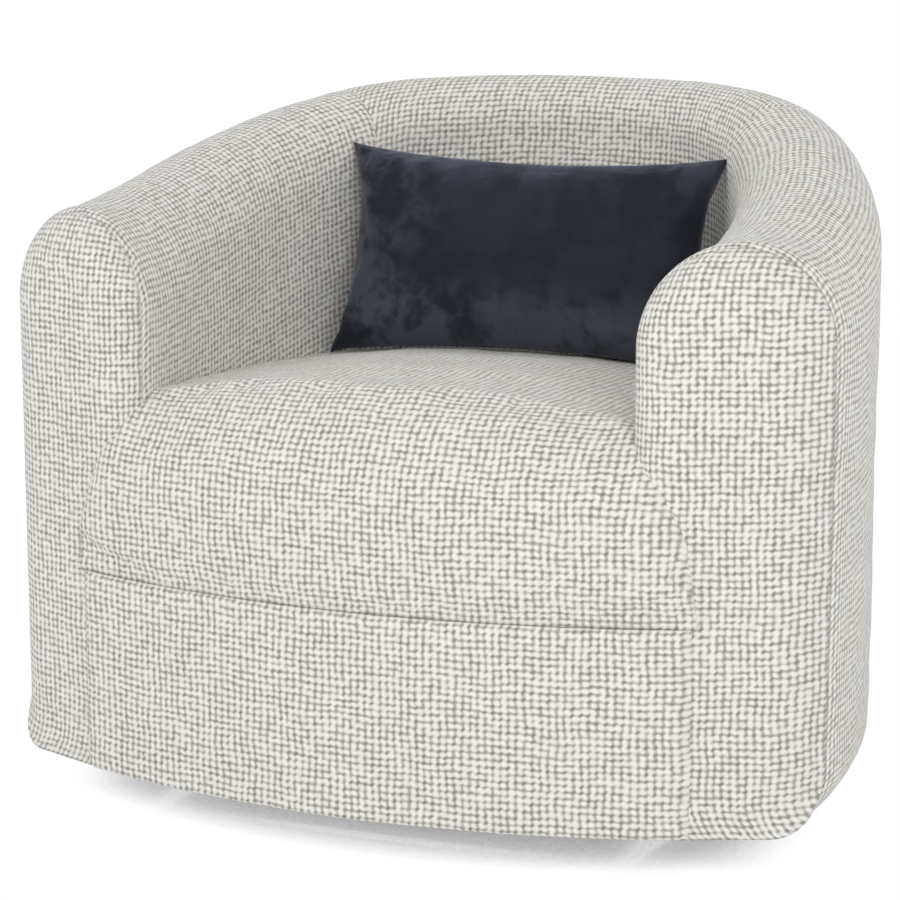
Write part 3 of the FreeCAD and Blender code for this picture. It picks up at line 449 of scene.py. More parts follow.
def arm_front_run():
    """How far the arm runs ahead of its line's start, to the bow of the front."""
    w = bpy.context.scene.rocker_wall
    dy = w.line_y - (w.front_y + w.front_radius)
    radius = w.front_radius - w.setback
    b = w.line_x * math.sin(w.splay) + dy * math.cos(w.splay)
    return b + math.sqrt(b * b - (w.line_x**2 + dy * dy - radius * radius))


def toe_angle():
    """Turn of the arm's face, square to the bow of the front."""
    w = bpy.context.scene.rocker_wall
    x = w.line_x - arm_front_run() * math.sin(w.splay)
    return math.asin(x / (w.front_radius - w.setback))


def front_place(depth):
    """Place value along the wall at a depth behind the arm's face."""
    w = bpy.context.scene.rocker_wall
    return -(arm_front_run() - depth / math.cos(toe_angle() + w.splay)) / (3 * w.arm_pull)


def spans(start, end, count):
    """count steps from start to end as a last axis, without the end."""
    share = np.arange(count) / count
    return np.asarray(start)[..., None] * (1 - share) + np.asarray(end)[..., None] * share


def roll_outline(half, top, arch, bottom, hem, reach):
    """Closed outlines across the wall, as (station, point, (w, z)): the flat bottom, a quarter
    round hem, the outer side, the arch as a half circle of radius half about a centre arch
    below the top, and the inner side, which slopes out by reach down to the seat's seam."""
    seam = np.minimum(bpy.context.scene.rocker_wall.seam_z, top - arch - half)
    centre = top - arch
    quarter = np.arange(HEM_STEPS) / HEM_STEPS * (math.pi / 2)
    turn = np.arange(2 * ARCH_STEPS) / (2 * ARCH_STEPS) * math.pi
    flat = [spans(-half, half - hem, BOTTOM_STEPS), spans(bottom, bottom, BOTTOM_STEPS)]
    corner = [(half - hem)[:, None] + hem[:, None] * np.sin(quarter),
              (bottom + hem)[:, None] - hem[:, None] * np.cos(quarter)]
    outer = [spans(half, half, SIDE_STEPS), spans(bottom + hem, centre, SIDE_STEPS)]
    over = [half[:, None] * np.cos(turn), centre[:, None] + half[:, None] * np.sin(turn)]
    slope = [spans(-half, -half - reach, SIDE_STEPS), spans(centre, seam, SIDE_STEPS)]
    ledge = [spans(-half - reach, -half, LEDGE_STEPS), spans(seam, seam, LEDGE_STEPS)]
    down = [spans(-half, -half, DOWN_STEPS), spans(seam, bottom, DOWN_STEPS)]
    pieces = [flat, corner, outer, over, slope, ledge, down]
    return np.concatenate([np.stack(piece, 2) for piece in pieces], 1)


def arc_lengths(points, axis):
    """Length along one axis of a grid of points, from its start."""
    steps = np.linalg.norm(np.diff(points, axis=axis), axis=2)
    first = np.zeros_like(np.take(steps, [0], axis=axis))
    return np.concatenate([first, np.cumsum(steps, axis=axis)], axis=axis)


def uneven(points, amount, seed=0.0):
    """Soft hand-made unevenness: a sum of slow sine waves over the place."""
    x, y, z = points[..., 0] + seed, points[..., 1], points[..., 2]
    waves = (np.sin(31 * x + 17 * z + 1.3) + np.sin(43 * y - 21 * z + 0.4)
             + 0.7 * np.sin(67 * z + 23 * x - 35 * y) + 0.45 * np.sin(109 * y + 71 * z + 2.0)
             + 0.4 * np.sin(93 * x - 117 * z))
    return amount * waves / 3


def grid_piece(name, points, uv):
    """A closed piece from a grid of points, whose second axis wraps round. uv has one more
    column than the grid. Points that coincide become one."""
    rows, cols = points.shape[:2]
    i, j = np.meshgrid(np.arange(rows - 1), np.arange(cols), indexing="ij")
    k = (j + 1) % cols
    corners = np.stack([i * cols + j, i * cols + k, (i + 1) * cols + k, (i + 1) * cols + j], -1)
    wide = uv.shape[1]
    looks = np.stack([i * wide + j, i * wide + j + 1, (i + 1) * wide + j + 1, (i + 1) * wide + j], -1)
    mesh = bpy.data.meshes.new(name)
    mesh.from_pydata(points.reshape(-1, 3).tolist(), [], corners.reshape(-1, 4).tolist())
    layer = mesh.uv_layers.new(name="UVMap")
    layer.data.foreach_set("uv", uv.reshape(-1, 2)[looks.reshape(-1)].astype(np.float32).ravel())
    work = bmesh.new()
    work.from_mesh(mesh)
    bmesh.ops.remove_doubles(work, verts=work.verts, dist=2 * FINEST)
    bmesh.ops.dissolve_degenerate(work, edges=work.edges, dist=FINEST)
    bmesh.ops.recalc_face_normals(work, faces=work.faces)
    if sum(face.calc_center_median().dot(face.normal) * face.calc_area() for face in work.faces) < 0:
        bmesh.ops.reverse_faces(work, faces=work.faces)
    work.to_mesh(mesh)
    work.free()
    mesh.shade_smooth()
    piece = bpy.data.objects.new(name, mesh)
    bpy.context.scene.collection.objects.link(piece)
    return piece


def closed(points, uv, start, end):
    """The grid with the outlines that close its start and its end."""
    points = np.concatenate([start[::-1], points, end])
    uv = np.concatenate([np.repeat(uv[:1], len(start), 0), uv, np.repeat(uv[-1:], len(end), 0)])
    return points, uv


def dress(piece, material, body, slot, *nodes):
    """Gives a piece its material, sets it on its body and hides the parts that it replaces. The slot is
    not used.
    """
    piece.data.materials.clear()
    piece.data.materials.append(material)
    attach(piece, body)
    if nodes:
        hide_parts(*nodes)
    return piece


def shared(name, maker):
    """The material of a name, made the first time it is asked for."""
    return bpy.data.materials.get(name) or maker()


def seam_dip(distance):
    """How far the cover is drawn in at a distance from a seam, with a slight swell beside it: one
    bell curve less another."""
    dip, dip_width = 0.0011, 0.0026
    swell, swell_at, swell_width = 0.0005, 0.012, 0.008
    return (dip * np.exp(-((distance / dip_width) ** 2))
            - swell * np.exp(-(((distance - swell_at) / swell_width) ** 2)))


def front_inset(places):
    """How far the arm's front rounding draws the sides in at places behind its face: with the
    radius r and the depth d behind the face, r - sqrt(r^2 - (r - d)^2) while d is under r."""
    w = bpy.context.scene.rocker_wall
    r = w.round_front
    depth = (near_half(places) - front_place(0.0)) * 3 * w.arm_pull * math.cos(toe_angle() + w.splay)
    short = np.clip(r - depth, 0.0, r)
    return r - np.sqrt(r * r - short * short)


def roll_piece(name, places, lengths, reach, seed):
    """A stretch of the wall between two seams. It is drawn in at both seams, swells a little
    beside them, and is closed at its ends by outlines that shrink to their middle line."""
    w = bpy.context.scene.rocker_wall
    wall = Wall(places)
    near = np.minimum(lengths - lengths[0], lengths[-1] - lengths)
    dip = seam_dip(near)
    half = wall.half - dip - front_inset(places)
    full = np.ones_like(half)
    outline = roll_outline(half, wall.top, wall.half, w.bottom * full, w.hem * full, reach)
    points = wall.points(outline)
    normal = np.cross(np.gradient(points, axis=0), np.roll(points, -1, 1) - np.roll(points, 1, 1))
    normal /= np.maximum(np.linalg.norm(normal, axis=2, keepdims=True), 1e-12)
    calm = smooth(near / 0.05)[:, None, None] * smooth((points[..., 2:] - w.bottom) / 0.05)
    points = points + normal * uneven(points, ROLL_WAVE, seed)[..., None] * calm
    ring = np.concatenate([points, points[:, :1]], 1)
    u = arc_lengths(ring, 0)
    v = arc_lengths(ring, 1)
    top = BOTTOM_STEPS + HEM_STEPS + SIDE_STEPS + ARCH_STEPS
    middle = len(places) // 2
    uv = np.stack([u - u[middle], v - v[:, top:top + 1]], 2)
    start, end = (end_cap(places[at], half[at], reach[at], (0.3, 0.7, 1.0)) for at in (0, -1))
    return grid_piece(name, *closed(points, uv, start, end))


def end_cap(place, half, reach, shares):
    """Outlines at one end of a roll that shrink by each share to its middle line and close it."""
    w = bpy.context.scene.rocker_wall
    shares = np.array(shares)
    h = half * (1 - shares)
    wall = Wall(np.full(len(shares), place))
    outline = roll_outline(h, wall.top, wall.half, w.bottom + half * shares,
                           np.minimum(w.hem * (1 - shares), h), reach * (1 - shares))
    return wall.points(outline)


def even_places(first, last, pitch):
    """Places along the wall at an even pitch in metres, closer together at both ends."""
    rough = np.linspace(first, last, 400)
    run = arc_lengths(Wall(rough).centre[:, None], 0)[:, 0]
    total = run[-1]
    count = int(total / pitch)
    edge = np.array([0.0, 0.0012, 0.0025, 0.004, 0.006, 0.009, 0.013, 0.018])
    inner = np.linspace(0.024, total - 0.024, count)
    spots = np.concatenate([edge, inner, total - edge[::-1]])
    return np.interp(spots, run, rough), spots


def panel_piece(name, side):
    """The arched front panel of an arm: rings that run in from its seam to the middle line of
    the face. The face is flat, and a quarter round of the front rounding's radius leads from it
    back to the seam, so a ring's depth is r - sqrt(r^2 - (r - d)^2) at a distance d inside
    the outline."""
    w = bpy.context.scene.rocker_wall
    r = w.round_front
    psi_seam = math.acos(1 - w.panel_depth / r)
    psi = np.linspace(psi_seam, 0.0, 12)
    wall = Wall([front_place(0.0)])
    h = wall.half[0]
    inset = np.concatenate([r * (1 - np.sin(psi)), np.linspace(r, h, 7)[1:]])
    depth = np.concatenate([r * (1 - np.cos(psi)), np.zeros(6)])
    places = np.array([front_place(d) for d in depth])
    rings = Wall(places)
    lift = np.maximum(inset - inset[0], 0.0)
    hem = np.maximum(w.hem * (1 - 0.5 * np.minimum(inset, r) / r) - lift, 0.0)
    hem = np.minimum(hem, h - inset)
    dip = seam_dip(np.maximum(inset - inset[0], 0) * 1.6)
    outline = roll_outline(h - inset - dip * (inset < r), rings.top, rings.half, w.bottom + lift, hem,
                           np.zeros_like(inset))
    wide, tall = outline[:, :, 0], outline[:, :, 1]
    above = np.maximum(tall - (wall.top[0] - h), 0.0)  # height over the arch's centre
    middle = 1 - np.abs(wide) / h
    points = rings.points(outline)
    # keep the bottom edge flat: depth follows the side and the arch alone
    forward = np.array([wall.out[0][1], -wall.out[0][0], 0.0])
    inside = np.minimum(h - np.abs(wide), rings.top[:, None] - tall)
    d = np.clip(np.where(above > 0, h - np.hypot(wide, above), inside), 0.0, None)
    true_depth = np.where(d < r, r - np.sqrt(np.maximum(r * r - (r - np.minimum(d, r)) ** 2, 0.0)), 0.0)
    true_depth = np.minimum(true_depth, w.panel_depth)
    shift = depth[:, None] - true_depth
    shift[0] = 0.0
    points = points + forward * shift[..., None]
    points = points + forward * (uneven(points, PANEL_WAVE, side * 0.7) * smooth(middle * 3))[..., None]
    grow = np.where(d < r, r * np.arcsin(np.clip((r - d) / r, 0, 1)) - (r - d), 0.0)
    reach = np.maximum(np.hypot(wide, above), 1e-6)
    flat = np.stack([wide * (1 + grow / reach), tall + above * grow / reach], 2)
    back = end_cap(front_place(w.panel_depth), h - inset[0], 0.0, (0.35, 0.8, 1.0))
    points, flat = closed(points, flat, back, back[:0])
    if side < 0:
        points = points * np.array([-1.0, 1.0, 1.0])
        flat = flat * np.array([-1.0, 1.0])
    flat = np.concatenate([flat, flat[:, :1]], 1)
    return grid_piece(name, points, flat + np.array([side * 0.4, 0.0]))


def bow_y(x):
    """Depth of the bowed front at x: one arc in plan."""
    w = bpy.context.scene.rocker_wall
    return w.front_y + w.front_radius - np.sqrt(w.front_radius * w.front_radius - x * x)


def rail_piece():
    """The front rail's cover: one upright profile carried along the bow. The profile comes from
    under the rail, rounds the lower edge, goes up the face and rounds in to the seam."""
    w = bpy.context.scene.rocker_wall
    s = bpy.context.scene.rocker_seat
    edge, back, end_round, end_tuck = 0.005, 0.075, 0.02, 0.016
    x = np.linspace(-s.rail_half, s.rail_half, 130)
    quarter = np.linspace(0, math.pi / 2, 7)
    low, high = s.rail_bottom, w.seam_z
    d = np.concatenate([np.linspace(back, edge, 8)[:-1], edge - edge * np.sin(quarter), np.zeros(34),
                        edge - edge * np.cos(quarter), np.linspace(edge, back, 8)[1:]])
    z = np.concatenate([np.full(7, low), low + edge - edge * np.cos(quarter),
                        np.linspace(low + edge, high - edge, 36)[1:-1],
                        high - edge + edge * np.sin(quarter), np.full(7, high)])
    fade = np.minimum(1.0, (s.rail_half - np.abs(x)) / end_round)
    tuck = end_tuck * (1 - np.sqrt(np.clip(1 - (1 - fade) ** 2, 0, 1)))
    depth = d[None, :] + tuck[:, None]
    points = np.stack([np.repeat(x[:, None], len(d), 1), bow_y(x)[:, None] + depth,
                       np.repeat(z[None], len(x), 0)], 2)
    face = (depth < 0.004)[..., None]
    soft = np.stack([np.zeros_like(depth), uneven(points, RAIL_WAVE, 0.3), np.zeros_like(depth)], 2)
    points = points + soft * face
    ring = np.concatenate([points, points[:, :1]], 1)
    v = arc_lengths(ring, 1)
    uv = np.stack([np.repeat(x[:, None], len(d) + 1, 1), v - 0.07], 2)
    ends = []
    for end in (0, -1):
        middle = points[end].mean(0)
        ends.append(np.stack([middle + (points[end] - middle) * k for k in (0.5, 0.0)]))
    return grid_piece("front_rail_cover_fabric", *closed(points, uv, *ends))


def seat_piece():
    """The tight seat: an upright profile from front to back for each place x across it. The
    profile's height falls off to the sides as (1 - p^2.4)^0.7, with a crown 1 - (x/a)^2 on
    top. Its front is a shallow arc below, a quarter ellipse over the nose and a parabola
    to the back."""
    w = bpy.context.scene.rocker_wall
    s = bpy.context.scene.rocker_seat
    turn = np.linspace(-1.0, 1.0, 121)
    even = 0.65  # share of an even spacing across, the rest is denser at the sides
    x = s.lap_x * np.sin(turn * math.pi / 2) * (1 - even) + s.lap_x * turn * even
    ax = np.abs(x)
    past = np.clip((ax - s.shoulder_x) / (s.lap_x - s.shoulder_x), 0, 1)
    share = np.clip(1 - past**2.4, 0, 1) ** 0.7
    swell = s.crown * (1 - np.minimum(ax / s.shoulder_x, 1.0) ** 2)
    z0 = w.seam_z + 0.0005
    front = bow_y(x) + s.setback
    back = s.back_y - s.corner * (np.clip(ax - s.square_x, 0, None) / (s.lap_x - s.square_x)) ** 2
    brow = front - s.bulge * share
    top = z0 + (s.side_z - z0) * share + swell
    rear = z0 + (s.back_z - z0) * share + swell * 0.25
    brow_z = z0 + (s.brow_z - z0) * share
    run = s.nose_run * (0.35 + 0.65 * share)
    lower = np.linspace(0, 1, 16)[:-1]
    nose = np.linspace(0, math.pi / 2, 26)[:-1]
    crown = np.linspace(0, 1, 80)
    y = [front[:, None] + (brow - front)[:, None] * np.sin(lower * math.pi / 2),
         brow[:, None] + run[:, None] * (1 - np.cos(nose)),
         (brow + run)[:, None] * (1 - crown) + back[:, None] * crown]
    z = [z0 + (brow_z - z0)[:, None] * lower,
         brow_z[:, None] + (top - brow_z)[:, None] * np.sin(nose),
         top[:, None] * (1 - crown) + rear[:, None] * crown
         + (s.bow * share + swell * 0.4)[:, None] * 4 * crown * (1 - crown)]
    fall = np.linspace(0, 1, 10)[1:]
    y.append(np.repeat(back[:, None], len(fall), 1))
    z.append(rear[:, None] * (1 - fall) + z0 * fall)
    floor = np.linspace(0, 1, 30)[1:-1]
    y.append(back[:, None] * (1 - floor) + front[:, None] * floor)
    z.append(np.full((len(x), len(floor)), z0))
    y, z = np.concatenate(y, 1), np.concatenate(z, 1)
    points = np.stack([np.repeat(x[:, None], y.shape[1], 1), y, z], 2)
    high = smooth((z - z0) / 0.03) * smooth((0.23 - y) / 0.02)
    points[..., 2] += uneven(points, SEAT_WAVE[1], 1.7) * high * smooth((y + 0.37) / 0.08)
    points[..., 1] += uneven(points, SEAT_WAVE[0], 2.9) * high * (1 - smooth((y + 0.37) / 0.05))
    ring = np.concatenate([points, points[:, :1]], 1)
    v = arc_lengths(ring, 1)
    uv = np.stack([np.repeat(x[:, None], ring.shape[1], 1), v], 2)
    piece = grid_piece("seat_cushion", points, uv)
    relax(piece, SEAT_GIVE, z0 + SEAT_HELD)
    return piece


def points_of(mesh):
    """The mesh's vertices as rows of x, y and z."""
    co = np.empty(len(mesh.vertices) * 3)
    mesh.vertices.foreach_get("co", co)
    return co.reshape(-1, 3)


def relax(piece, cap, held_below=None):
    """The cover as cloth: a copy of the piece in even quads, a little too wide for its padding,
    is blown up from inside for CLOTH_FRAMES frames. Each point of the piece then follows the copy's
    movement d beside it, by cap tanh(|d| / cap) along d."""
    scene = bpy.context.scene
    copy = bpy.data.objects.new("relaxing", piece.data.copy())
    scene.collection.objects.link(copy)
    bpy.ops.object.select_all(action="DESELECT")
    copy.select_set(True)
    bpy.context.view_layer.objects.active = copy
    copy.data.remesh_voxel_size = CLOTH_QUAD
    bpy.ops.object.voxel_remesh()
    start = points_of(copy.data)
    cloth = copy.modifiers.new("cloth", "CLOTH")
    cloth.settings.use_pressure = True
    cloth.settings.uniform_pressure_force = CLOTH_PRESSURE
    cloth.settings.effector_weights.gravity = 0.0
    cloth.settings.shrink_min = -CLOTH_SLACK
    if held_below is not None:
        held = copy.vertex_groups.new(name="held")
        held.add(np.nonzero(start[:, 2] < held_below)[0].tolist(), 1.0, "REPLACE")
        cloth.settings.vertex_group_mass = held.name
    cloth.point_cache.frame_start = 1
    cloth.point_cache.frame_end = CLOTH_FRAMES
    for step in range(1, CLOTH_FRAMES + 1):
        scene.frame_set(step)
    settled = copy.evaluated_get(bpy.context.evaluated_depsgraph_get()).data
    moved = points_of(settled) - start
    near = KDTree(len(start))
    for i, point in enumerate(start):
        near.insert(point, i)
    near.balance()
    rest = points_of(piece.data)
    shift = np.empty_like(rest)
    for i, point in enumerate(rest):
        found = near.find_n(point, 4)
        share = np.array([1 / (gap + 1e-4) for _, _, gap in found])
        shift[i] = share @ moved[[k for _, k, _ in found]] / share.sum()
    size = np.linalg.norm(shift, axis=1, keepdims=True) + 1e-9
    shift *= cap * np.tanh(size / cap) / size
    piece.data.vertices.foreach_set("co", (rest + shift).ravel())
    piece.data.update()
    bpy.data.objects.remove(copy)
    scene.frame_set(1)


def gathers(piece):
    """Small puckers above the seat's front seam, where its fullness is eased into the rail's
    cover: short waves across, strongest just over the seam and gone 45 mm above it."""
    fade, pucker = 0.045, 0.0016
    mesh = piece.data
    co = points_of(mesh)
    w = bpy.context.scene.rocker_wall
    up = np.clip((co[:, 2] - w.seam_z) / fade, 0, 1)
    facing = (co[:, 1] < bow_y(np.clip(co[:, 0], -0.34, 0.34)) + 0.03) & (co[:, 2] > w.seam_z + 0.0008)
    left = smooth((0.12 - co[:, 0]) / 0.2)
    x = co[:, 0]
    wave = np.sin(x * 190 + 2.2 * np.sin(x * 37)) * (0.5 + 0.5 * np.sin(x * 23 + 1.0))
    height = pucker * wave * (1 - up) ** 2 * np.minimum(up * 12, 1) * (0.35 + 0.65 * left)
    co[:, 1] -= np.where(facing, height, 0.0)
    mesh.vertices.foreach_set("co", co.ravel())
    mesh.update()


def pillow_piece():
    """The lumbar pillow: two panels over p and q from -1 to 1. Its outline is drawn in between
    the corners by a_p (1 - q^2) and a_q (1 - p^2), and its thickness is that of two shallow domes,
    ((1 - p^2)(1 - q^2))^0.42, with puckers that fade away from the seams."""
    s = bpy.context.scene.rocker_pillow
    n, m = 97, 61
    drawn_p, drawn_q, wave = 0.012, 0.015, 0.0016
    p = np.sin(np.linspace(-1, 1, n) * math.pi / 2)[:, None] * np.ones((1, m))
    q = np.ones((n, 1)) * np.sin(np.linspace(-1, 1, m) * math.pi / 2)[None]
    wide = p * (s.half_w - drawn_p * (1 - q * q))
    tall = q * (s.half_h - drawn_q * (1 - p * p))
    dome = (np.clip(1 - p * p, 0, 1) * np.clip(1 - q * q, 0, 1)) ** 0.42
    edge_p = np.clip(1 - np.abs(p), 0, 1)
    edge_q = np.clip(1 - np.abs(q), 0, 1)
    pucker = (np.sin(wide * 210 + 3 * np.sin(wide * 31)) * np.exp(-((edge_q / 0.16) ** 2))
              + np.sin(tall * 230 + 2 * np.sin(tall * 41) + 1) * np.exp(-((edge_p / 0.09) ** 2)))
    slow = (np.sin(wide * 19 + tall * 31) + 0.8 * np.sin(wide * 37 - tall * 23 + 1.0)
            + 0.6 * np.sin(wide * 11 + tall * 57))
    sides = []
    for face, share in ((-1, 1.0), (1, 0.8)):
        swell = s.half_t * dome + wave * (pucker + slow) * np.sqrt(dome) * share
        sides.append(np.stack([wide, face * np.maximum(swell, 0.0), tall], 2))
    # the back panel follows the front one with its rows turned, so that the grid wraps
    grid = np.concatenate([sides[0], sides[1][:, -2:0:-1]], 1)
    flat = np.stack([wide, tall], 2)
    uv = np.concatenate([flat, flat[:, -2:0:-1] + 0.6, flat[:, :1]], 1)
    piece = grid_piece("lumbar_pillow", grid, uv)
    relax(piece, PILLOW_GIVE)
    low, high = (np.array(corner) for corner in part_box("pillow_insert"))
    centre = (low + high) / 2
    turn = Matrix.Rotation(s.turn, 4, "Z") @ Matrix.Rotation(-s.lean, 4, "X")
    turn = turn @ Matrix.Rotation(s.roll, 4, "Y")
    piece.data.transform(Matrix.Translation(Vector(centre)) @ turn)
    return piece


def coil_piece(name, centre_x, centre_y, z0, z1):
    """A compression spring: a round wire carried up a helix of radius a, (a cos t, a sin t,
    climb t)."""
    a, wire, turns = COIL_RADIUS, WIRE_RADIUS, COIL_TURNS
    t = np.linspace(0, 1, turns * 28 + 1)
    angle = t * turns * math.tau
    z = z0 + wire + (z1 - z0 - 2 * wire) * t
    path = np.stack([centre_x + a * np.cos(angle), centre_y + a * np.sin(angle), z], 1)
    along = np.gradient(path, axis=0)
    along /= np.linalg.norm(along, axis=1, keepdims=True)
    side = np.stack([np.cos(angle), np.sin(angle), np.zeros_like(angle)], 1)
    other = np.cross(along, side)
    ring = np.arange(10) / 10 * math.tau
    points = path[:, None] + wire * (np.cos(ring)[None, :, None] * side[:, None]
                                     + np.sin(ring)[None, :, None] * other[:, None])
    first, last = (np.repeat(path[[at], None], 10, 1) for at in (0, -1))
    points = np.concatenate([first, points, last])
    shares = np.linspace(0, 1, len(points)), np.linspace(0, 1, 11)
    return grid_piece(name, points, np.stack(np.meshgrid(*shares, indexing="ij"), 2))


class ROCKER_OT_arms(bpy.types.Operator):
    """Make both arms: the roll and the arched front panel"""

    bl_idname = "rocker.arms"
    bl_label = "Arms"

    def execute(self, context):
        w = context.scene.rocker_wall
        cloth = shared("rocker tweed", tweed)
        first = front_place(w.panel_depth)
        for name, side in (("right", 1), ("left", -1)):
            places, spots = even_places(first, w.seam_at, ROLL_PITCH)
            if side < 0:
                places = 2 * CENTRE_BACK - places
            roll = roll_piece(name + "_arm_roll", places, spots, np.zeros_like(places), side * 0.9)
            dress(roll, cloth, "seat", "tweed", name + "_arm_foam", name + "_arm_cover")
            panel = panel_piece(name + "_arm_face", side)
            dress(panel, cloth, "seat", "tweed", name + "_arm_front_panel")
        return {"FINISHED"}


class ROCKER_OT_back(bpy.types.Operator):
    """Make the back between its two seams"""

    bl_idname = "rocker.back"
    bl_label = "Back"

    def execute(self, context):
        w = context.scene.rocker_wall
        places, spots = even_places(w.seam_at, 2 * CENTRE_BACK - w.seam_at, ROLL_PITCH)
        wall = Wall(places)
        amount = smooth((1 - np.abs(CENTRE_BACK - places) - w.seam_at) / (1 - w.seam_at))
        reach = math.tan(w.lean) * (wall.top - wall.half - w.seam_z) * amount
        back = roll_piece("back_roll", places, spots, reach, 4.1)
        dress(back, shared("rocker tweed", tweed), "seat", "tweed", "back_foam", "back_cover")
        return {"FINISHED"}


class ROCKER_OT_seat(bpy.types.Operator):
    """Make the tight seat and the front rail's cover"""

    bl_idname = "rocker.seat"
    bl_label = "Seat and front rail"

    def execute(self, context):
        cloth = shared("rocker tweed", tweed)
        seat = seat_piece()
        gathers(seat)
        dress(seat, cloth, "seat", "tweed", "seat_foam", "seat_cover")
        rail = rail_piece()
        dress(rail, cloth, "seat", "tweed", "front_rail_foam", "front_rail_cover")
        return {"FINISHED"}


class ROCKER_OT_pillow(bpy.types.Operator):
    """Make the velvet lumbar pillow"""

    bl_idname = "rocker.pillow"
    bl_label = "Pillow"

    def execute(self, context):
        pillow = pillow_piece()
        dress(pillow, shared("rocker velvet", velvet), "pillow", "velvet",
              "pillow_front_panel", "pillow_back_panel", "pillow_insert")
        return {"FINISHED"}


class ROCKER_OT_springs(bpy.types.Operator):
    """Make the rocker's four coil springs, which bend between the turntable and the seat"""

    bl_idname = "rocker.springs"
    bl_label = "Rocker springs"

    def execute(self, context):
        steel = shared("rocker coils", coil_steel)
        outer = COIL_RADIUS + WIRE_RADIUS
        for end, node in (("front", "front_rocker_springs"), ("back", "back_rocker_springs")):
            low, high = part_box(node)
            y = (low[1] + high[1]) / 2
            for side, x in (("left", low[0] + outer), ("right", high[0] - outer)):
                coil = coil_piece(end + "_" + side + "_coil", x, y, low[2], high[2])
                coil.data.materials.append(steel)
                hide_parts(node)
                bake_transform(coil)
        return {"FINISHED"}


class ROCKER_OT_frame(bpy.types.Operator):
    """Give the metal, wood, cloth and plastic of the chair's inside their finishes"""

    bl_idname = "rocker.frame"
    bl_label = "Frame finishes"

    def execute(self, context):
        finishes = {
            "black_steel": painted_steel("black steel", (0.022, 0.022, 0.024)),
            "zinc_steel": bright_steel("zinc plate", (0.62, 0.61, 0.58)),
            "spring_steel": shared("rocker coils", coil_steel),
            "nylon": moulded("nylon", (0.66, 0.64, 0.58)),
            "black_plastic": moulded("black nylon", (0.022, 0.022, 0.022), 0.45),
            "rubber": moulded("rubber", (0.02, 0.02, 0.02), 0.7),
            "hardwood": timber("hardwood", (0.46, 0.30, 0.17)),
            "plywood": timber("plywood", (0.52, 0.37, 0.21), 0.35),
            "foam": moulded("foam", (0.72, 0.66, 0.44), 0.9),
            "fibre_fill": moulded("fibre fill", (0.8, 0.8, 0.79), 0.9),
            "tweed": shared("rocker tweed", tweed),
            "velvet": shared("rocker velvet", velvet),
            "black_cloth": thin_cloth("black cambric", (0.03, 0.03, 0.03), 0.0011),
            "burlap": thin_cloth("burlap", (0.36, 0.26, 0.15), 0.0028),
        }
        for part in frame["record"]["subparts"]:
            mesh = frame["nodes"][part["node"]].data
            mesh.materials.clear()
            mesh.materials.append(finishes[part["material_slot"]])
        return {"FINISHED"}


class ROCKER_OT_stage(bpy.types.Operator):
    """Lay the floor, set soft lights and place the camera"""

    bl_idname = "rocker.stage"
    bl_label = "Floor, lights and camera"

    def execute(self, context):
        scene = context.scene
        lay_floor(scene)
        set_lights(scene)
        place_camera(scene)
        scene.view_settings.view_transform = "Standard"
        return {"FINISHED"}


def lay_floor(scene):
    """A wide pale floor. The camera sees it as glowing white, with a painted shadow that is dark only
    close under the chair.
    """
    bpy.ops.mesh.primitive_plane_add(size=30.0, location=(0, 0, 0))
    floor = bpy.context.object
    floor.name = "studio_floor"
    f = Finish("studio floor", Roughness=0.9, Specular_IOR_Level=0.0)
    f.shader.inputs["Base Color"].default_value = (*scene.rocker_colours.floor, 1.0)
    # painted shadow: the emission that the camera sees darkens where ambient occlusion is high, close
    # under the chair
    near = f.node("ShaderNodeAmbientOcclusion", {"samples": 16}, {"Distance": 0.20}, "AO")
    shadow, lit = (0.16, 0.16, 0.16), (1.0, 1.0, 1.0)
    pale = f.node("ShaderNodeEmission", None, {"Color": f.mix(near.step(0.0, 0.22), shadow, lit)})
    seen = f.node("ShaderNodeLightPath", out="Is Camera Ray")
    out = f.node("ShaderNodeMixShader", None, {0: seen, 1: Shade(f, f.shader.outputs[0]), 2: pale})
    f.tree.links.new(out.socket, f.tree.nodes["Material Output"].inputs["Surface"])
    floor.data.materials.append(f.material)


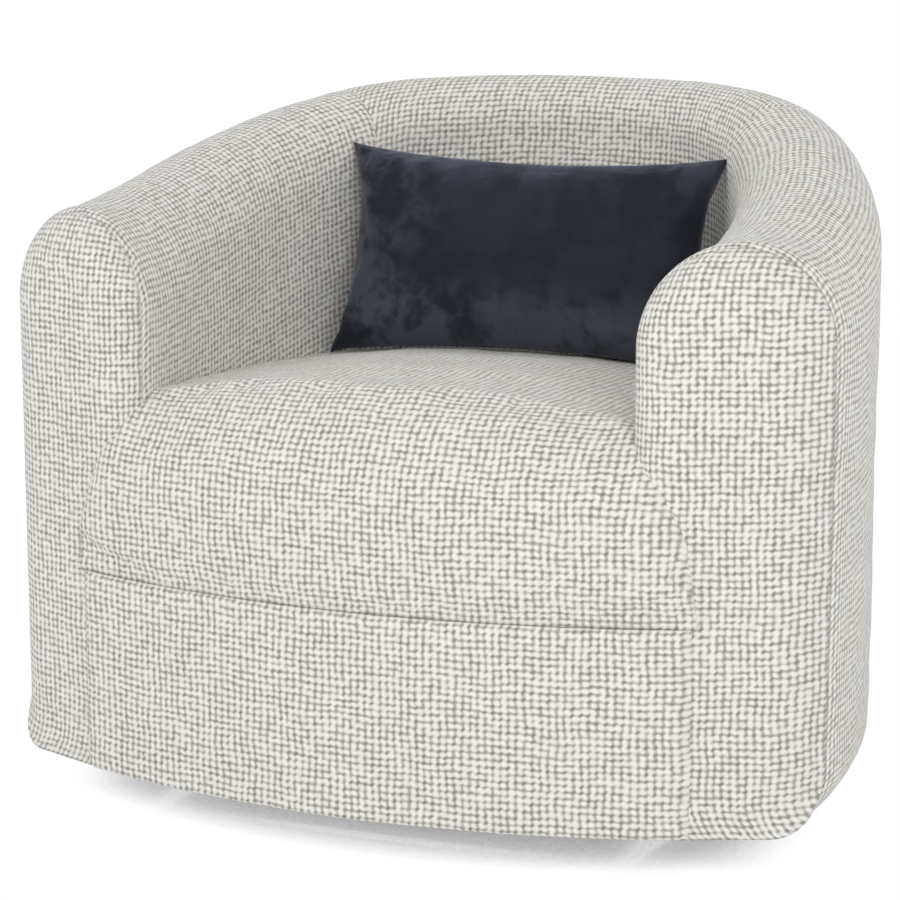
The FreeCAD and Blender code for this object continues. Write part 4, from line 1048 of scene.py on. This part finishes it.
def set_lights(scene):
    """A large soft light from the camera's upper right, a weaker one from its left, a faint one
    from above and an even white room."""
    world = bpy.data.worlds.new("studio")
    scene.world = world
    world.use_nodes = True
    tree = world.node_tree
    paths = tree.nodes.new("ShaderNodeLightPath")
    seen = tree.nodes.new("ShaderNodeMath")
    seen.operation = "MAXIMUM"
    tree.links.new(paths.outputs["Is Camera Ray"], seen.inputs[0])
    tree.links.new(paths.outputs["Is Glossy Ray"], seen.inputs[1])
    room = tree.nodes["Background"]
    room.inputs["Color"].default_value = (1.0, 1.0, 1.0, 1.0)
    level = tree.nodes.new("ShaderNodeMix")
    level.inputs[2].default_value = 0.72
    level.inputs[3].default_value = 1.0
    tree.links.new(seen.outputs[0], level.inputs[0])
    tree.links.new(level.outputs[0], room.inputs["Strength"])
    lamps = (("key", (2.0, -3.3, 1.9), 2.2, 50.0), ("fill", (-3.0, -2.6, 1.8), 2.6, 24.0),
             ("top", (0.2, 0.6, 3.6), 2.6, 3.0))
    for name, place, size, watts in lamps:
        light = bpy.data.lights.new(name, "AREA")
        light.size = size
        light.energy = watts
        lamp = bpy.data.objects.new(name, light)
        lamp.location = place
        lamp.rotation_euler = (Vector((0, 0, 0.35)) - Vector(place)).to_track_quat("-Z", "Y").to_euler()
        scene.collection.objects.link(lamp)


def place_camera(scene):
    """The photograph's viewpoint, worked out from the chair's own edges."""
    camera = bpy.data.cameras.new("camera")
    camera.sensor_width = 36.0
    camera.lens = 120.32
    camera.clip_end = 60.0
    eye = bpy.data.objects.new("camera", camera)
    eye.location = (1.1289, -3.0384, 1.0264)
    eye.rotation_euler = Vector((-0.3547, 0.9119, -0.2067)).to_track_quat("-Z", "Y").to_euler()
    scene.collection.objects.link(eye)
    scene.camera = eye


class ROCKER_PT_panel(bpy.types.Panel):
    """Lists the steps that dress the chair"""

    bl_label = "Swivel rocker"
    bl_idname = "ROCKER_PT_panel"
    bl_space_type = "VIEW_3D"
    bl_region_type = "UI"
    bl_category = "Rocker"

    def draw(self, context):
        for step in STEPS:
            self.layout.operator(step.bl_idname)
        for name in GROUPS:
            group = getattr(context.scene, name)
            box = self.layout.box()
            for key in group.__annotations__:
                box.prop(group, key)


GROUPS = {"rocker_wall": WallSizes, "rocker_seat": SeatSizes, "rocker_pillow": PillowSizes,
          "rocker_colours": Colours}
STEPS = (ROCKER_OT_frame, ROCKER_OT_arms, ROCKER_OT_back, ROCKER_OT_seat, ROCKER_OT_pillow,
         ROCKER_OT_springs, ROCKER_OT_stage)


def register():
    for kind in (*GROUPS.values(), *STEPS, ROCKER_PT_panel):
        bpy.utils.register_class(kind)
    for name, kind in GROUPS.items():
        setattr(bpy.types.Scene, name, PointerProperty(type=kind))


def unregister():
    for name in GROUPS:
        delattr(bpy.types.Scene, name)
    for kind in (ROCKER_PT_panel, *reversed(STEPS), *GROUPS.values()):
        bpy.utils.unregister_class(kind)


def main():
    register()
    for step in STEPS:
        group, call = step.bl_idname.split(".")
        getattr(getattr(bpy.ops, group), call)()


if __name__ == "__main__":
    main()
